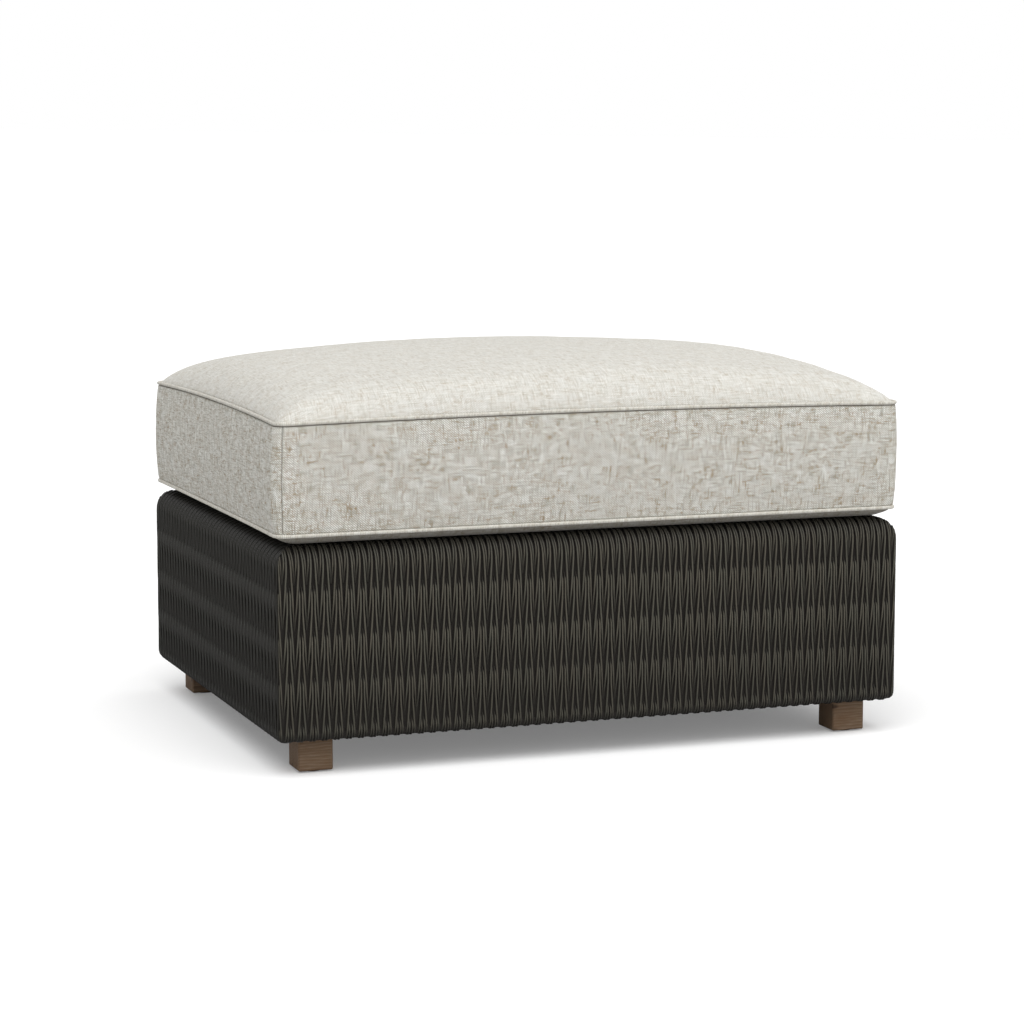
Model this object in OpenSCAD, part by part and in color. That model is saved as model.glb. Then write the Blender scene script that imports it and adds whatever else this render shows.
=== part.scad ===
// Ottoman with a woven body on a welded frame and a loose, zipped box cushion.
// Millimetres, +Z up, +Y towards the back. The origin is on the floor under the middle of the body.

/* [Body] */
// Width of the woven body, left to right
body_w = 813; // [700:1:950]
// Depth of the woven body, front to back
body_d = 617; // [520:1:760]
// Height of the woven body from its lower edge to the seat deck
body_h = 235; // [190:1:300]
// Radius of the body's top edge
top_edge_r = 33; // [24:1:40]
// Radius of the body's lower edge
low_edge_r = 12; // [10:0.5:18]
// Radius of the body's upright corners
corner_r = 10; // [9:0.5:18]
// Thickness of the weave
weave_t = 5; // [3:0.5:6]
// Pitch of the upright braided columns of cane
column_pitch = 15.05; // [10:0.05:30]
// Width of the furrow between two columns
furrow_w = 5.4; // [2:0.1:8]
// Depth of that furrow
furrow_depth = 2.6; // [1:0.1:2.8]

/* [Frame] */
// Side of the square tube of the frame
tube_side = 25; // [20:0.5:30]
// Wall of the square tube
tube_wall = 1.6; // [1.2:0.1:3]
// Radius of the tube's outer corners
tube_r = 2; // [0.5:0.1:3]
// Width of the ribs that carry the weave
rib_w = 14; // [10:0.5:20]
// Thickness of the ribs
rib_t = 3; // [2:0.1:4]
// Largest distance between two ribs
rib_pitch = 125; // [90:1:160]
// Width of the cross members under the deck
cross_w = 30; // [20:0.5:40]
// Height of the cross members
cross_h = 15; // [10:0.5:20]
// Wall of the cross members
cross_wall = 1.5; // [1:0.1:2.5]
// Number of cross members
cross_count = 5; // [3:1:5]

/* [Feet] */
// Height of the body's lower edge above the floor
foot_h = 41; // [32:0.5:70]
// Side of the square feet
foot_side = 43; // [36:0.5:50]
// Distance from the body's left and right sides to the feet
foot_inset_x = 32; // [28:0.5:44]
// Distance from the body's front and back to the feet
foot_inset_y = 25; // [25:0.5:40]
// Bevel along the edges of the feet
foot_bevel = 1.5; // [0.5:0.1:3]
// Thickness of the plate between frame and foot
plate_t = 3; // [2:0.1:5]
// Thread diameter of the foot screws
screw_d = 8; // [6:0.5:10]
// Height of the glide under each foot
glide_h = 2; // [1.5:0.1:4]
// Diameter of the glide
glide_d = 30; // [22:0.5:34]

/* [Cushion] */
// How far the cushion's left and right seams stand in from the sides of the body
cushion_side = 2; // [0:0.1:10]
// How far the cushion's front and back seams stand in from the front and back of the body
cushion_front = 4.5; // [0:0.1:12]
// Height of the boxing between the two welts, at the corners
boxing_h = 132.5; // [90:0.5:180]
// Rise of the crowned top above the upper welt
crown_h = 66; // [40:1:85]
// Height of the lower welt above the seat deck
sit_h = 13; // [8:0.5:18]
// Radius of the cushion's corners
cushion_r = 14; // [12:0.5:30]
// Rise of the upper seam at the middle of each side
seam_bow = 4.2; // [0:0.1:8]
// How far the seams are drawn in at the middle of each side
side_draw = 1.5; // [0:0.1:3]
// How far the boxing swells past the seams
boxing_swell = 4; // [1:0.1:5]
// Diameter of the welts
welt_d = 4.6; // [3:0.1:6]
// Thickness of the cover fabric
cover_t = 1.5; // [0.8:0.1:2]
// Room for seam allowances between the foam and the boxing
foam_room = 6; // [5:0.5:15]
// Thickness of the fibre sheet under the foam
fibre_t = 12; // [6:0.5:20]
// Share of the crown that the foam itself has
foam_crown = 0.7; // [0.5:0.01:0.85]

/* [Zip] */
// Length of the zip
zip_l = 580; // [400:1:640]
// Opening between the folded edges of the boxing
zip_gap = 13; // [12.5:0.1:18]
// Width of both tapes together
tape_w = 28; // [24:0.5:34]
// Thickness of the tapes
tape_t = 0.8; // [0.5:0.1:1]
// Width of one coil
coil_w = 2.2; // [1.6:0.1:2.6]
// Height of the coils above the tapes
coil_h = 1.6; // [1.2:0.1:1.8]
// Length of the slider
slider_l = 12; // [10:0.1:16]
// Width of the slider
slider_w = 9.4; // [8.6:0.1:11]
// Thickness of the slider's plates
slider_t = 1.1; // [0.8:0.1:1.2]
// Diameter of the bar that holds the pull
bar_d = 1.2; // [1:0.05:1.4]
// Length of the pull
pull_l = 22; // [16:0.5:30]
// Width of the pull
pull_w = 6; // [5:0.1:8]

/* [Hidden] */
$fn = 48;

// Gap between the weave and the metal it lies on
lay_gap = 0.2;
// Gap between soft pieces, and between the cushion and the deck
soft_gap = 0.3;
// Gap between the top panel and the fibre under it, where both curve sharply
crown_gap = 1.2;
// Radial clearance of the pull on its bar
pin_gap = 0.08;
// Reach of cutting shapes past what they cut
over = 1;

// Levels of the body
body_z0 = foot_h;
deck_z = body_z0 + body_h;
metal_inset = weave_t + lay_gap;
frame_z0 = body_z0 + metal_inset;
frame_z1 = deck_z - metal_inset;

// The frame's corner posts stand over the middle of the feet
post_x = body_w / 2 - foot_inset_x - foot_side / 2;
post_y = body_d / 2 - foot_inset_y - foot_side / 2;
frame_x = post_x + tube_side / 2;
frame_y = post_y + tube_side / 2;
turn_under = min(foot_inset_x, foot_inset_y) - 1;

// Levels and sizes of the foot fittings
plate_z = frame_z0 - plate_t;
washer_d = 2 * screw_d;
washer_t = screw_d / 5;
head_d = 1.6 * screw_d;
head_h = screw_d;
nut_flats = 1.6 * screw_d;
nut_h = 0.8 * screw_d;
hole_gap = 0.5;
pocket_d = washer_d + 2 * hole_gap;
glide_plug_h = 3;
pocket_h = glide_plug_h + head_h + washer_t + hole_gap;
seat_z = glide_h + pocket_h;
nut_z = frame_z0 + tube_wall;
screw_past_nut = 1.5;

// Width and depth of the cushion between its seams
cushion_w = body_w - 2 * cushion_side;
cushion_d = body_d - 2 * cushion_front;

// Levels of the cushion
low_seam_z = deck_z + sit_h;
top_seam_z = low_seam_z + boxing_h;
cushion_z0 = deck_z + soft_gap;
zip_z = low_seam_z + boxing_h / 2;
welt_clear = welt_d / 2 + soft_gap / 2;

// Plane of the zip's tapes: behind the folded edges of the back boxing
hem_w = tape_w / 2 - zip_gap / 2 + 5;
back_y = cushion_d / 2 - side_draw + boxing_swell + cover_t / 2;
tape_y = back_y - 2 * cover_t - 0.35;
coil_slot = 1;
slider_gap = 0.2;
plate_y = coil_h + slider_gap;
bar_y = plate_y + slider_t + bar_d / 2 + 1;

metal = [0.16, 0.15, 0.14];
cane = [0.22, 0.21, 0.19];
cane_side = [0.18, 0.175, 0.16];
wood = [0.37, 0.28, 0.21];
steel = [0.72, 0.72, 0.74];
black = [0.08, 0.08, 0.08];
linen = [0.87, 0.86, 0.83];
linen_side = [0.74, 0.73, 0.69];
piping = [0.82, 0.81, 0.77];
foam = [0.93, 0.89, 0.74];
fibre = [0.96, 0.96, 0.96];
tape_grey = [0.70, 0.69, 0.66];

// Flat outlines

module round_rect(w, d, r) {
  square([w - 2 * r, d], center = true);
  square([w, d - 2 * r], center = true);
  for (sx = [-1, 1], sy = [-1, 1])
    translate([sx * (w / 2 - r), sy * (d / 2 - r)]) circle(r);
}

// Outline of the body seen from one side, inset by i: wide top rounding, small lower rounding
module side_outline(w, i) {
  rt = top_edge_r - i;
  rl = max(low_edge_r - i, 1);
  half = w / 2 - i;
  z0 = body_z0 + i;
  z1 = deck_z - i;
  translate([-half + rt, z0 + rl]) square([2 * (half - rt), z1 - z0 - rl]);
  translate([-half, z0 + rl]) square([2 * half, z1 - z0 - rl - rt]);
  translate([-half + rl, z0]) square([2 * (half - rl), rl + over]);
  for (s = [-1, 1]) {
    translate([s * (half - rt), z1 - rt]) circle(rt);
    translate([s * (half - rl), z0 + rl]) circle(rl);
  }
}

module tube_outline(w, h, wall, r) {
  difference() {
    round_rect(w, h, r);
    square([w - 2 * wall, h - 2 * wall], center = true);
  }
}

// Mitred sector of a rectangle w by d: the strip along its front side, as deep as depth
module front_sector(w, d, depth) {
  polygon([
    [-w / 2 - over, -d / 2 - over], [w / 2 + over, -d / 2 - over],
    [w / 2 - depth, -d / 2 + depth], [-w / 2 + depth, -d / 2 + depth]
  ]);
}

// Extrusions along X and along Y of an outline drawn in width and height
module along_x(l) { rotate([90, 0, 90]) linear_extrude(l, center = true) children(); }
module along_y(l) { rotate([90, 0, 0]) linear_extrude(l, center = true) children(); }

// The four corners: left or right, front or back
corners = [[-1, -1], [1, -1], [-1, 1], [1, 1]];
module at_feet() { for (c = corners) translate([c[0] * post_x, c[1] * post_y, 0]) children(); }

// Frame

module ring_rail(w, d, z, drilled) {
  difference() {
    intersection() {
      translate([0, -d / 2 + tube_side / 2, z + tube_side / 2])
        along_x(w) tube_outline(tube_side, tube_side, tube_wall, tube_r);
      translate([0, 0, z - over])
        linear_extrude(tube_side + 2 * over) front_sector(w, d, tube_side + 2 * over);
    }
    if (drilled)
      for (s = [-1, 1])
        translate([s * (w / 2 - tube_side / 2), -d / 2 + tube_side / 2, z - over])
          cylinder(h = tube_wall + 2 * over, d = screw_d + 2 * hole_gap);
  }
}

module long_rail(back, z, drilled) {
  color(metal) rotate([0, 0, back ? 180 : 0]) ring_rail(2 * frame_x, 2 * frame_y, z, drilled);
}

module short_rail(right, z, drilled) {
  color(metal) rotate([0, 0, right ? 90 : -90]) ring_rail(2 * frame_y, 2 * frame_x, z, drilled);
}

top_rail_z = frame_z1 - tube_side;
module top_rail_front() { long_rail(false, top_rail_z, false); }
module top_rail_back() { long_rail(true, top_rail_z, false); }
module top_rail_left() { short_rail(false, top_rail_z, false); }
module top_rail_right() { short_rail(true, top_rail_z, false); }
module low_rail_front() { long_rail(false, frame_z0, true); }
module low_rail_back() { long_rail(true, frame_z0, true); }
module low_rail_left() { short_rail(false, frame_z0, true); }
module low_rail_right() { short_rail(true, frame_z0, true); }

module post(x, y) {
  z0 = frame_z0 + tube_side;
  color(metal) translate([x, y, z0])
    linear_extrude(top_rail_z - z0) tube_outline(tube_side, tube_side, tube_wall, tube_r);
}
module corner_post_fl() { post(-post_x, -post_y); }
module corner_post_fr() { post(post_x, -post_y); }
module corner_post_bl() { post(-post_x, post_y); }
module corner_post_br() { post(post_x, post_y); }
module middle_post_front() { post(0, -post_y); }
module middle_post_back() { post(0, post_y); }

cross_l = 2 * (frame_y - tube_side);
cross_step = 2 * post_x / (cross_count + 1);
module cross_members() {
  color(metal) for (k = [1 : cross_count])
    translate([-post_x + k * cross_step, 0, frame_z1 - cross_h / 2])
      along_y(cross_l) tube_outline(cross_w, cross_h, cross_wall, tube_r);
}

// Ribs: flat bars bent over the top edge and under the lower edge, welded to both rings

module rib(w, rail) {
  along_x(rib_w) difference() {
    side_outline(w, metal_inset);
    side_outline(w, metal_inset + rib_t);
    translate([-rail, 0]) square([w, deck_z + over]);
  }
}

// Ribs on one side: evenly spaced between the corner posts
module rib_row(w, rail, run) {
  n = ceil(run / rib_pitch);
  step = run / n;
  color(metal) for (k = [0 : n - 1]) translate([-run / 2 + (k + 0.5) * step, 0, 0]) rib(w, rail);
}

module ribs_front() { rib_row(body_d, frame_y, 2 * post_x - foot_side); }
module ribs_back() { rotate([0, 0, 180]) ribs_front(); }
module ribs_left() { rotate([0, 0, -90]) rib_row(body_w, frame_x, 2 * post_y - foot_side); }
module ribs_right() { rotate([0, 0, 180]) ribs_left(); }

// The body as a solid block, inset by i: its rounded edges meet in mitres at the corners
module block(i) {
  intersection() {
    along_x(body_w + 2 * over) side_outline(body_d, i);
    along_y(body_d + 2 * over) side_outline(body_w, i);
    translate([0, 0, body_z0 - over]) linear_extrude(body_h + 2 * over)
      round_rect(body_w - 2 * i, body_d - 2 * i, max(corner_r - i, 0.8));
  }
}

// Ribs under the mitres, from the top ring out to the corner and down to the lower ring
module corner_ribs() {
  color(metal) difference() {
    intersection() {
      block(metal_inset);
      for (c = corners)
        translate([c[0] * (body_w / 2 - top_edge_r), c[1] * (body_d / 2 - top_edge_r), 0])
          rotate([0, 0, c[0] * c[1] * 45]) linear_extrude(deck_z)
            square([4 * top_edge_r, rib_w], center = true);
    }
    block(metal_inset + rib_t);
    linear_extrude(deck_z) square([2 * frame_x, 2 * frame_y], center = true);
  }
}

// Weave

// Furrows between the braided columns of the wall in front. A column runs down each corner, and the furrows
// run out where the wall rounds over.
module furrows(w, d) {
  columns = round(w / column_pitch);
  pitch = w / columns;
  mouth = furrow_w / 2 * (1 + over / furrow_depth);
  for (i = [0 : columns - 1])
    translate([(i + 0.5) * pitch - w / 2, -d / 2, body_z0 - over]) linear_extrude(body_h + 2 * over)
      polygon([[-mouth, -over], [mouth, -over], [0, furrow_depth]]);
}

// The woven walls: rounded over to the seat deck at the top and turned under at the lower edge
module woven_ring() {
  difference() {
    block(0);
    block(weave_t);
    translate([0, 0, deck_z - weave_t - over])
      linear_extrude(weave_t + 2 * over) square([2 * post_x, 2 * post_y], center = true);
    translate([0, 0, body_z0 - over]) linear_extrude(weave_t + 2 * over)
      square([body_w - 2 * turn_under, body_d - 2 * turn_under], center = true);
  }
}

woven_reach = max(body_w / 2 - post_x, body_d / 2 - post_y) + over;

// The mitred wall in front of a body w by d
module woven_wall(w, d) {
  intersection() {
    difference() {
      children();
      furrows(w, d);
    }
    linear_extrude(deck_z + over) front_sector(w, d, woven_reach);
  }
}

module woven_long(back) {
  rotate([0, 0, back ? 180 : 0]) woven_wall(body_w, body_d) woven_ring();
}

module woven_short(right) {
  turn = right ? 90 : -90;
  rotate([0, 0, turn]) woven_wall(body_d, body_w) rotate([0, 0, -turn]) woven_ring();
}

module woven_front() { color(cane) woven_long(false); }
module woven_back() { color(cane) woven_long(true); }
module woven_left() { color(cane_side) woven_short(false); }
module woven_right() { color(cane_side) woven_short(true); }

module woven_deck() {
  color(cane) translate([-post_x, -post_y, deck_z - weave_t])
    cube([2 * post_x, 2 * post_y, weave_t]);
}

// Feet and what fastens them

module bevelled_rect(w, h) {
  b = foot_bevel;
  polygon([
    [-w / 2 + b, -h / 2], [w / 2 - b, -h / 2], [w / 2, -h / 2 + b], [w / 2, h / 2 - b],
    [w / 2 - b, h / 2], [-w / 2 + b, h / 2], [-w / 2, h / 2 - b], [-w / 2, -h / 2 + b]
  ]);
}

// A square block with bevelled edges, bored for its screw, with a pocket for the screw's head
module foot(c) {
  h = plate_z - glide_h;
  color(wood) translate([c[0] * post_x, c[1] * post_y, glide_h]) difference() {
    intersection() {
      linear_extrude(h) bevelled_rect(foot_side, foot_side);
      translate([0, 0, h / 2]) along_x(foot_side + 2 * over) bevelled_rect(foot_side, h);
      translate([0, 0, h / 2]) along_y(foot_side + 2 * over) bevelled_rect(foot_side, h);
    }
    translate([0, 0, -over]) cylinder(h = pocket_h + over, d = pocket_d);
    cylinder(h = h + over, d = screw_d + 2 * hole_gap);
  }
}
module foot_fl() { foot(corners[0]); }
module foot_fr() { foot(corners[1]); }
module foot_bl() { foot(corners[2]); }
module foot_br() { foot(corners[3]); }

module foot_plates() {
  side = foot_side - 2 * foot_bevel;
  color(metal) at_feet() translate([0, 0, plate_z]) linear_extrude(plate_t) difference() {
    round_rect(side, side, tube_r);
    circle(d = screw_d + 2 * hole_gap);
  }
}

// Socket-head screws: head in the foot's pocket, shank up through plate, rail and nut
module foot_screws() {
  shank_z1 = nut_z + nut_h + screw_past_nut;
  head_z1 = seat_z - washer_t;
  color(steel) at_feet() difference() {
    union() {
      translate([0, 0, head_z1 - head_h]) cylinder(h = head_h, d = head_d);
      translate([0, 0, head_z1]) cylinder(h = shank_z1 - head_z1, d = screw_d);
    }
    translate([0, 0, head_z1 - head_h - over])
      cylinder(h = head_h / 2 + over, d = 0.8 * screw_d / cos(30), $fn = 6);
  }
}

module foot_washers() {
  color(steel) at_feet() translate([0, 0, seat_z - washer_t]) linear_extrude(washer_t) difference() {
    circle(d = washer_d);
    circle(d = screw_d + hole_gap);
  }
}

// Nuts welded inside the lower rings, over the corner holes
module foot_nuts() {
  color(steel) at_feet() translate([0, 0, nut_z]) difference() {
    cylinder(h = nut_h, d = nut_flats / cos(30), $fn = 6);
    translate([0, 0, -over]) cylinder(h = nut_h + 2 * over, d = screw_d + 2 * pin_gap);
  }
}

// Glides: a round pad with an open ring of a plug that grips the pocket
module foot_glides() {
  color(black) at_feet() {
    rotate_extrude() polygon([
      [0, 0], [glide_d / 2 - glide_h / 2, 0], [glide_d / 2, glide_h / 2], [glide_d / 2, glide_h],
      [pocket_d / 2 - pin_gap, glide_h], [pocket_d / 2 - pin_gap, glide_h + glide_plug_h],
      [pocket_d / 2 - 2, glide_h + glide_plug_h], [pocket_d / 2 - 2, glide_h], [0, glide_h]
    ]);
  }
}

// Soft surfaces. A net is a list of rings of points; a solid closes over its rings in turn.

function flip(net) = [for (k = [len(net) - 1 : -1 : 0]) net[k]];
function joined(net) = [for (ring = net, p = ring) p];
function unit(v) = v / norm(v);

// Two triangles for each step between the rings that start at points a and b
function band(a, b, n, steps) = [
  for (i = [0 : steps - 1]) let (j = (i + 1) % n) each
    [[a + i, a + j, b + j], [a + i, b + j, b + i]]
];

// Solid with a centre point at each end of its rings, as a cushion panel has above and below
module domed_solid(top, rings, bottom) {
  n = len(rings[0]);
  last = 1 + (len(rings) - 1) * n;
  polyhedron(
    points = concat([top], joined(rings), [bottom]),
    faces = concat(
      [for (i = [0 : n - 1]) [0, 1 + (i + 1) % n, 1 + i]],
      [for (k = [1 : len(rings) - 1]) each band(1 + (k - 1) * n, 1 + k * n, n, n)],
      [for (i = [0 : n - 1]) [last + n, last + i, last + (i + 1) % n]]
    )
  );
}

// Tube through closed cross-sections that come back to the first one
module looped_solid(sections) {
  m = len(sections[0]);
  count = len(sections);
  polyhedron(
    points = joined(sections),
    faces = [for (k = [0 : count - 1]) each band(k * m, ((k + 1) % count) * m, m, m)]
  );
}

// Strip of cloth through cross-sections that each go up its outer face and down its inner face
module strip_solid(sections) {
  m = len(sections[0]);
  rows = m / 2;
  last = (len(sections) - 1) * m;
  polyhedron(
    points = joined(sections),
    faces = concat(
      [for (k = [1 : len(sections) - 1]) each band((k - 1) * m, k * m, m, m)],
      [for (r = [0 : rows - 2]) each
        [[r, m - 1 - r, m - 2 - r], [r, m - 2 - r, r + 1],
         [last + r, last + m - 2 - r, last + m - 1 - r], [last + r, last + r + 1, last + m - 2 - r]]]
    )
  );
}

// Steps along a long side, along a short side and around half a corner of the cushion
long_n = 11;
short_n = 7;
half_arc_n = 2;

// One side of the seam, seen as the front side: [point, outward direction, place from -1 to 1]
function front_seam(half_l, half_m, n) = let (r = cushion_r, x = half_l - r, y = half_m - r) concat(
  [for (i = [0 : half_arc_n - 1]) let (a = -135 + 45 * i / half_arc_n)
    [[-x + r * cos(a), -y + r * sin(a)], [cos(a), sin(a)], -1]],
  [for (i = [0 : n]) let (t = -1 + 2 * i / n) [[x * t, -half_m], [0, -1], t]],
  [for (i = [1 : half_arc_n]) let (a = -90 + 45 * i / half_arc_n)
    [[x + r * cos(a), -y + r * sin(a)], [cos(a), sin(a)], 1]]
);

function turned(v, a) = [v[0] * cos(a) - v[1] * sin(a), v[0] * sin(a) + v[1] * cos(a)];

// Side k of the seam: 0 front, 1 right, 2 back, 3 left, drawn in towards its middle
function side_seam(k) = let (
  half_w = cushion_w / 2, half_d = cushion_d / 2,
  side = k % 2 == 0 ? front_seam(half_w, half_d, long_n) : front_seam(half_d, half_w, short_n)
) [for (q = side) let (draw = side_draw * (1 - pow(q[2], 4)))
    [turned(q[0] - q[1] * draw, 90 * k), turned(q[1], 90 * k), q[2]]];

// The whole seam, once around from the middle of the front-left corner
seam = [for (k = [0 : 3]) let (side = side_seam(k)) for (i = [0 : len(side) - 2]) side[i]];

// Seam point q moved out by d, at height z
function seam_point(q, d, z) = [q[0][0] + d * q[1][0], q[0][1] + d * q[1][1], z];
function bow(q) = seam_bow * (1 - q[2] * q[2]);

// Rise of the crown at a share u of the half width and v of the half depth
function crown(u, v) = pow(max(0, 1 - pow(abs(u), 1.78)), 0.295) * pow(max(0, 1 - pow(abs(v), 1.92)), 0.262);

// Top panel: rings at these shares of the way from the middle to the seam
top_steps = [0.32, 0.56, 0.74, 0.87, 0.945, 0.98, 1];
function top_base_z(q, s) = top_seam_z + bow(q) * s * s;
function top_rise(p, s) = crown_h * (
  crown(s * p[0] * 2 / cushion_w, s * p[1] * 2 / cushion_d)
  - pow(s, 18) * crown(p[0] * 2 / cushion_w, p[1] * 2 / cushion_d));
top_net = [for (s = top_steps) [for (q = seam) let (p = seam_point(q, -welt_clear, 0))
  [s * p[0], s * p[1], top_base_z(q, s) + top_rise(p, s)]]];
top_centre = [0, 0, top_seam_z + crown_h];

// Direction out of a net at ring k, point i
function net_normal(net, centre, k, i) = let (
  n = len(net[0]),
  inner = k == 0 ? centre : net[k - 1][i],
  outer = k == len(net) - 1 ? net[k][i] : net[k + 1][i]
) unit(cross(outer - inner, net[k][(i + 1) % n] - net[k][(i + n - 1) % n]));

// The same net, moved in by d
function inner_net(net, centre, d) = [for (k = [0 : len(net) - 1])
  [for (i = [0 : len(net[0]) - 1]) net[k][i] - d * net_normal(net, centre, k, i)]];

module top_panel() {
  color(linen) domed_solid(
    top_centre,
    concat(top_net, flip(inner_net(top_net, top_centre, cover_t))),
    top_centre - [0, 0, cover_t]
  );
}

// Underside: flat where it lies on the deck, rising to the lower welt near the edges
low_steps = [0.5, 0.8, 0.91, 0.965, 1];
sag = low_seam_z - cushion_z0;
function under_z(s) = low_seam_z - sag * pow(1 - pow(s, 14), 0.6);
function under_net(steps, lift) = [for (s = steps) [for (q = seam)
  let (p = seam_point(q, -welt_clear, 0)) [s * p[0], s * p[1], under_z(s) + lift]]];

module bottom_panel() {
  color(linen) domed_solid(
    [0, 0, cushion_z0 + cover_t],
    concat(under_net(low_steps, cover_t), flip(under_net(low_steps, 0))),
    [0, 0, cushion_z0]
  );
}

// Boxing: upright strips that swell between the welts and meet at the corners
boxing_rows = 5;
function swell(w) = boxing_swell * pow(4 * w * (1 - w), 0.7);
function boxing_section(q) = let (
  z0 = low_seam_z + welt_clear,
  z1 = top_seam_z + bow(q) - welt_clear,
  face = [for (r = [0 : boxing_rows - 1]) let (w = r / (boxing_rows - 1)) [swell(w), z0 + (z1 - z0) * w]]
) concat(
  [for (f = face) seam_point(q, f[0] + cover_t / 2, f[1])],
  [for (f = flip(face)) seam_point(q, f[0] - cover_t / 2, f[1])]
);

module boxing(k) { strip_solid([for (q = side_seam(k)) boxing_section(q)]); }

module boxing_front() { color(linen_side) boxing(0); }
module boxing_right() { color(linen_side) boxing(1); }
module boxing_left() { color(linen_side) boxing(3); }

// Half of the back boxing, above or below the zip, with its edge folded in behind it
module zip_boxing(up) {
  s = up ? 1 : -1;
  hem_l = zip_l + 2 * zip_gap;
  difference() {
    union() {
      boxing(2);
      translate([-hem_l / 2, back_y - 2 * cover_t, up ? zip_z : zip_z - zip_gap / 2 - hem_w])
        cube([hem_l, 1.5 * cover_t, zip_gap / 2 + hem_w]);
    }
    translate([0, back_y, zip_z]) cube([zip_l + zip_gap, 10 * cover_t, zip_gap], center = true);
    translate([-cushion_w, 0, up ? zip_z - boxing_h : zip_z]) cube([2 * cushion_w, cushion_d, boxing_h]);
  }
}

module boxing_back_upper() { color(linen_side) zip_boxing(true); }
module boxing_back_lower() { color(linen_side) zip_boxing(false); }

// Welts: covered cord along both seams
welt_sides = 8;
function welt_section(q, z) = [for (j = [0 : welt_sides - 1]) let (a = -360 * j / welt_sides)
  seam_point(q, welt_d / 2 * cos(a), z + welt_d / 2 * sin(a))];

module top_welt() {
  color(piping) looped_solid([for (q = seam) welt_section(q, top_seam_z + bow(q))]);
}
module bottom_welt() {
  color(piping) looped_solid([for (q = seam) welt_section(q, low_seam_z)]);
}

// Filling: a crowned foam core between two fibre sheets
fibre_rim = 3;
fill_gap = cover_t + soft_gap;
// Point p moved towards the middle of the cushion by d at the seams
function drawn_in(p, d) = [p[0] * (1 - 2 * d / cushion_w), p[1] * (1 - 2 * d / cushion_d), p[2]];
fibre_net = [for (ring = inner_net(top_net, top_centre, cover_t + soft_gap))
  [for (p = ring) drawn_in(p, crown_gap) - [0, 0, crown_gap]]];
fibre_centre = top_centre - [0, 0, cover_t + soft_gap + crown_gap];
function fibre_under(k) = [for (i = [0 : len(seam) - 1]) let (
  p = fibre_net[k][i], z = top_base_z(seam[i], top_steps[k]))
  [p[0], p[1], z - fibre_rim + foam_crown * (p[2] - z)]];
fibre_under_net = [for (k = [0 : len(top_steps) - 1]) fibre_under(k)];
fibre_under_centre = [0, 0, top_seam_z - fibre_rim + foam_crown * (fibre_centre[2] - top_seam_z)];

module fibre_top() {
  color(fibre) domed_solid(
    fibre_centre, concat(fibre_net, flip(fibre_under_net)), fibre_under_centre);
}

foam_z0 = cushion_z0 + fill_gap + fibre_t + soft_gap;
function foam_point(p) = drawn_in(p, foam_room) - [0, 0, 2 * soft_gap];
foam_net = [for (ring = fibre_under_net) [for (p = ring) foam_point(p)]];

module foam_core() {
  rim = foam_net[len(foam_net) - 1];
  color(foam) domed_solid(
    foam_point(fibre_under_centre),
    concat(foam_net, [[for (p = rim) [p[0], p[1], foam_z0]]]),
    [0, 0, foam_z0]
  );
}

fibre_low_steps = [0.5, 0.8, 0.9];
module fibre_bottom() {
  top_z = foam_z0 - soft_gap;
  low = under_net(fibre_low_steps, fill_gap + soft_gap);
  rim = low[len(low) - 1];
  color(fibre) domed_solid(
    [0, 0, top_z],
    concat([[for (p = rim) [p[0], p[1], top_z]]], flip(low)),
    [0, 0, cushion_z0 + fill_gap + soft_gap]
  );
}

// Zip in the back boxing. Its own frame: X along the zip, Y out of the back, Z up,
// from the middle of the tapes' outer face.

coil_half = zip_l / 2 - 8;
module at_zip(x) { translate([x, tape_y, zip_z]) children(); }

module zip_tapes() {
  color(tape_grey) at_zip(0) for (s = [-1, 1])
    translate([-zip_l / 2, -tape_t, s > 0 ? coil_slot / 2 : -tape_w / 2])
      cube([zip_l, tape_t, tape_w / 2 - coil_slot / 2]);
}

// Coils: a rounded ridge on each tape. The slot between them lets the slider's neck pass.
module zip_coils() {
  color(tape_grey) at_zip(0) for (s = [-1, 1])
    along_x(2 * coil_half) intersection() {
      translate([0, s * (coil_slot / 2 + coil_w / 2)]) circle(r = coil_h);
      translate([0, s > 0 ? coil_slot / 2 : -coil_slot / 2 - coil_w]) square([coil_h, coil_w]);
    }
}

module zip_stops() {
  stop_l = 4;
  stop_w = 2 * coil_w + coil_slot + 1;
  color(steel) for (s = [-1, 1])
    at_zip(s * (coil_half + pin_gap + stop_l / 2)) translate([0, (coil_h + 0.6) / 2, 0])
      along_y(coil_h + 0.6) round_rect(stop_l, stop_w, 1);
}

zip_rest_x = coil_half - slider_l / 2 - 0.5;

// Slider: two plates joined by a neck at the leading end, and a bar for the pull
module zip_slider() {
  flange = 1.4;
  neck_t = coil_slot - 2 * slider_gap;
  post_x0 = pull_neck / 2 + slider_gap;
  color(steel) at_zip(zip_rest_x) {
    for (y = [plate_y, -tape_t - slider_gap - slider_t])
      translate([0, y + slider_t / 2, 0]) along_y(slider_t) slider_outline();
    for (s = [-1, 1])
      translate([-slider_l / 2 + 1, slider_gap, s > 0 ? slider_w / 2 - flange : -slider_w / 2])
        cube([slider_l - 4, plate_y - slider_gap + slider_t / 2, flange]);
    translate([slider_l / 2 - 4, -tape_t - slider_gap - slider_t / 2, -neck_t / 2])
      cube([3, plate_y + tape_t + slider_gap + slider_t, neck_t]);
    for (s = [-1, 1])
      translate([s > 0 ? post_x0 : -post_x0 - bar_d, plate_y + slider_t / 2, -bar_d / 2])
        cube([bar_d, bar_y - plate_y - slider_t / 2 + bar_d / 2, bar_d]);
    translate([0, bar_y, 0]) rotate([0, 90, 0]) cylinder(h = 2 * post_x0 + bar_d, d = bar_d, center = true);
  }
}

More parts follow.
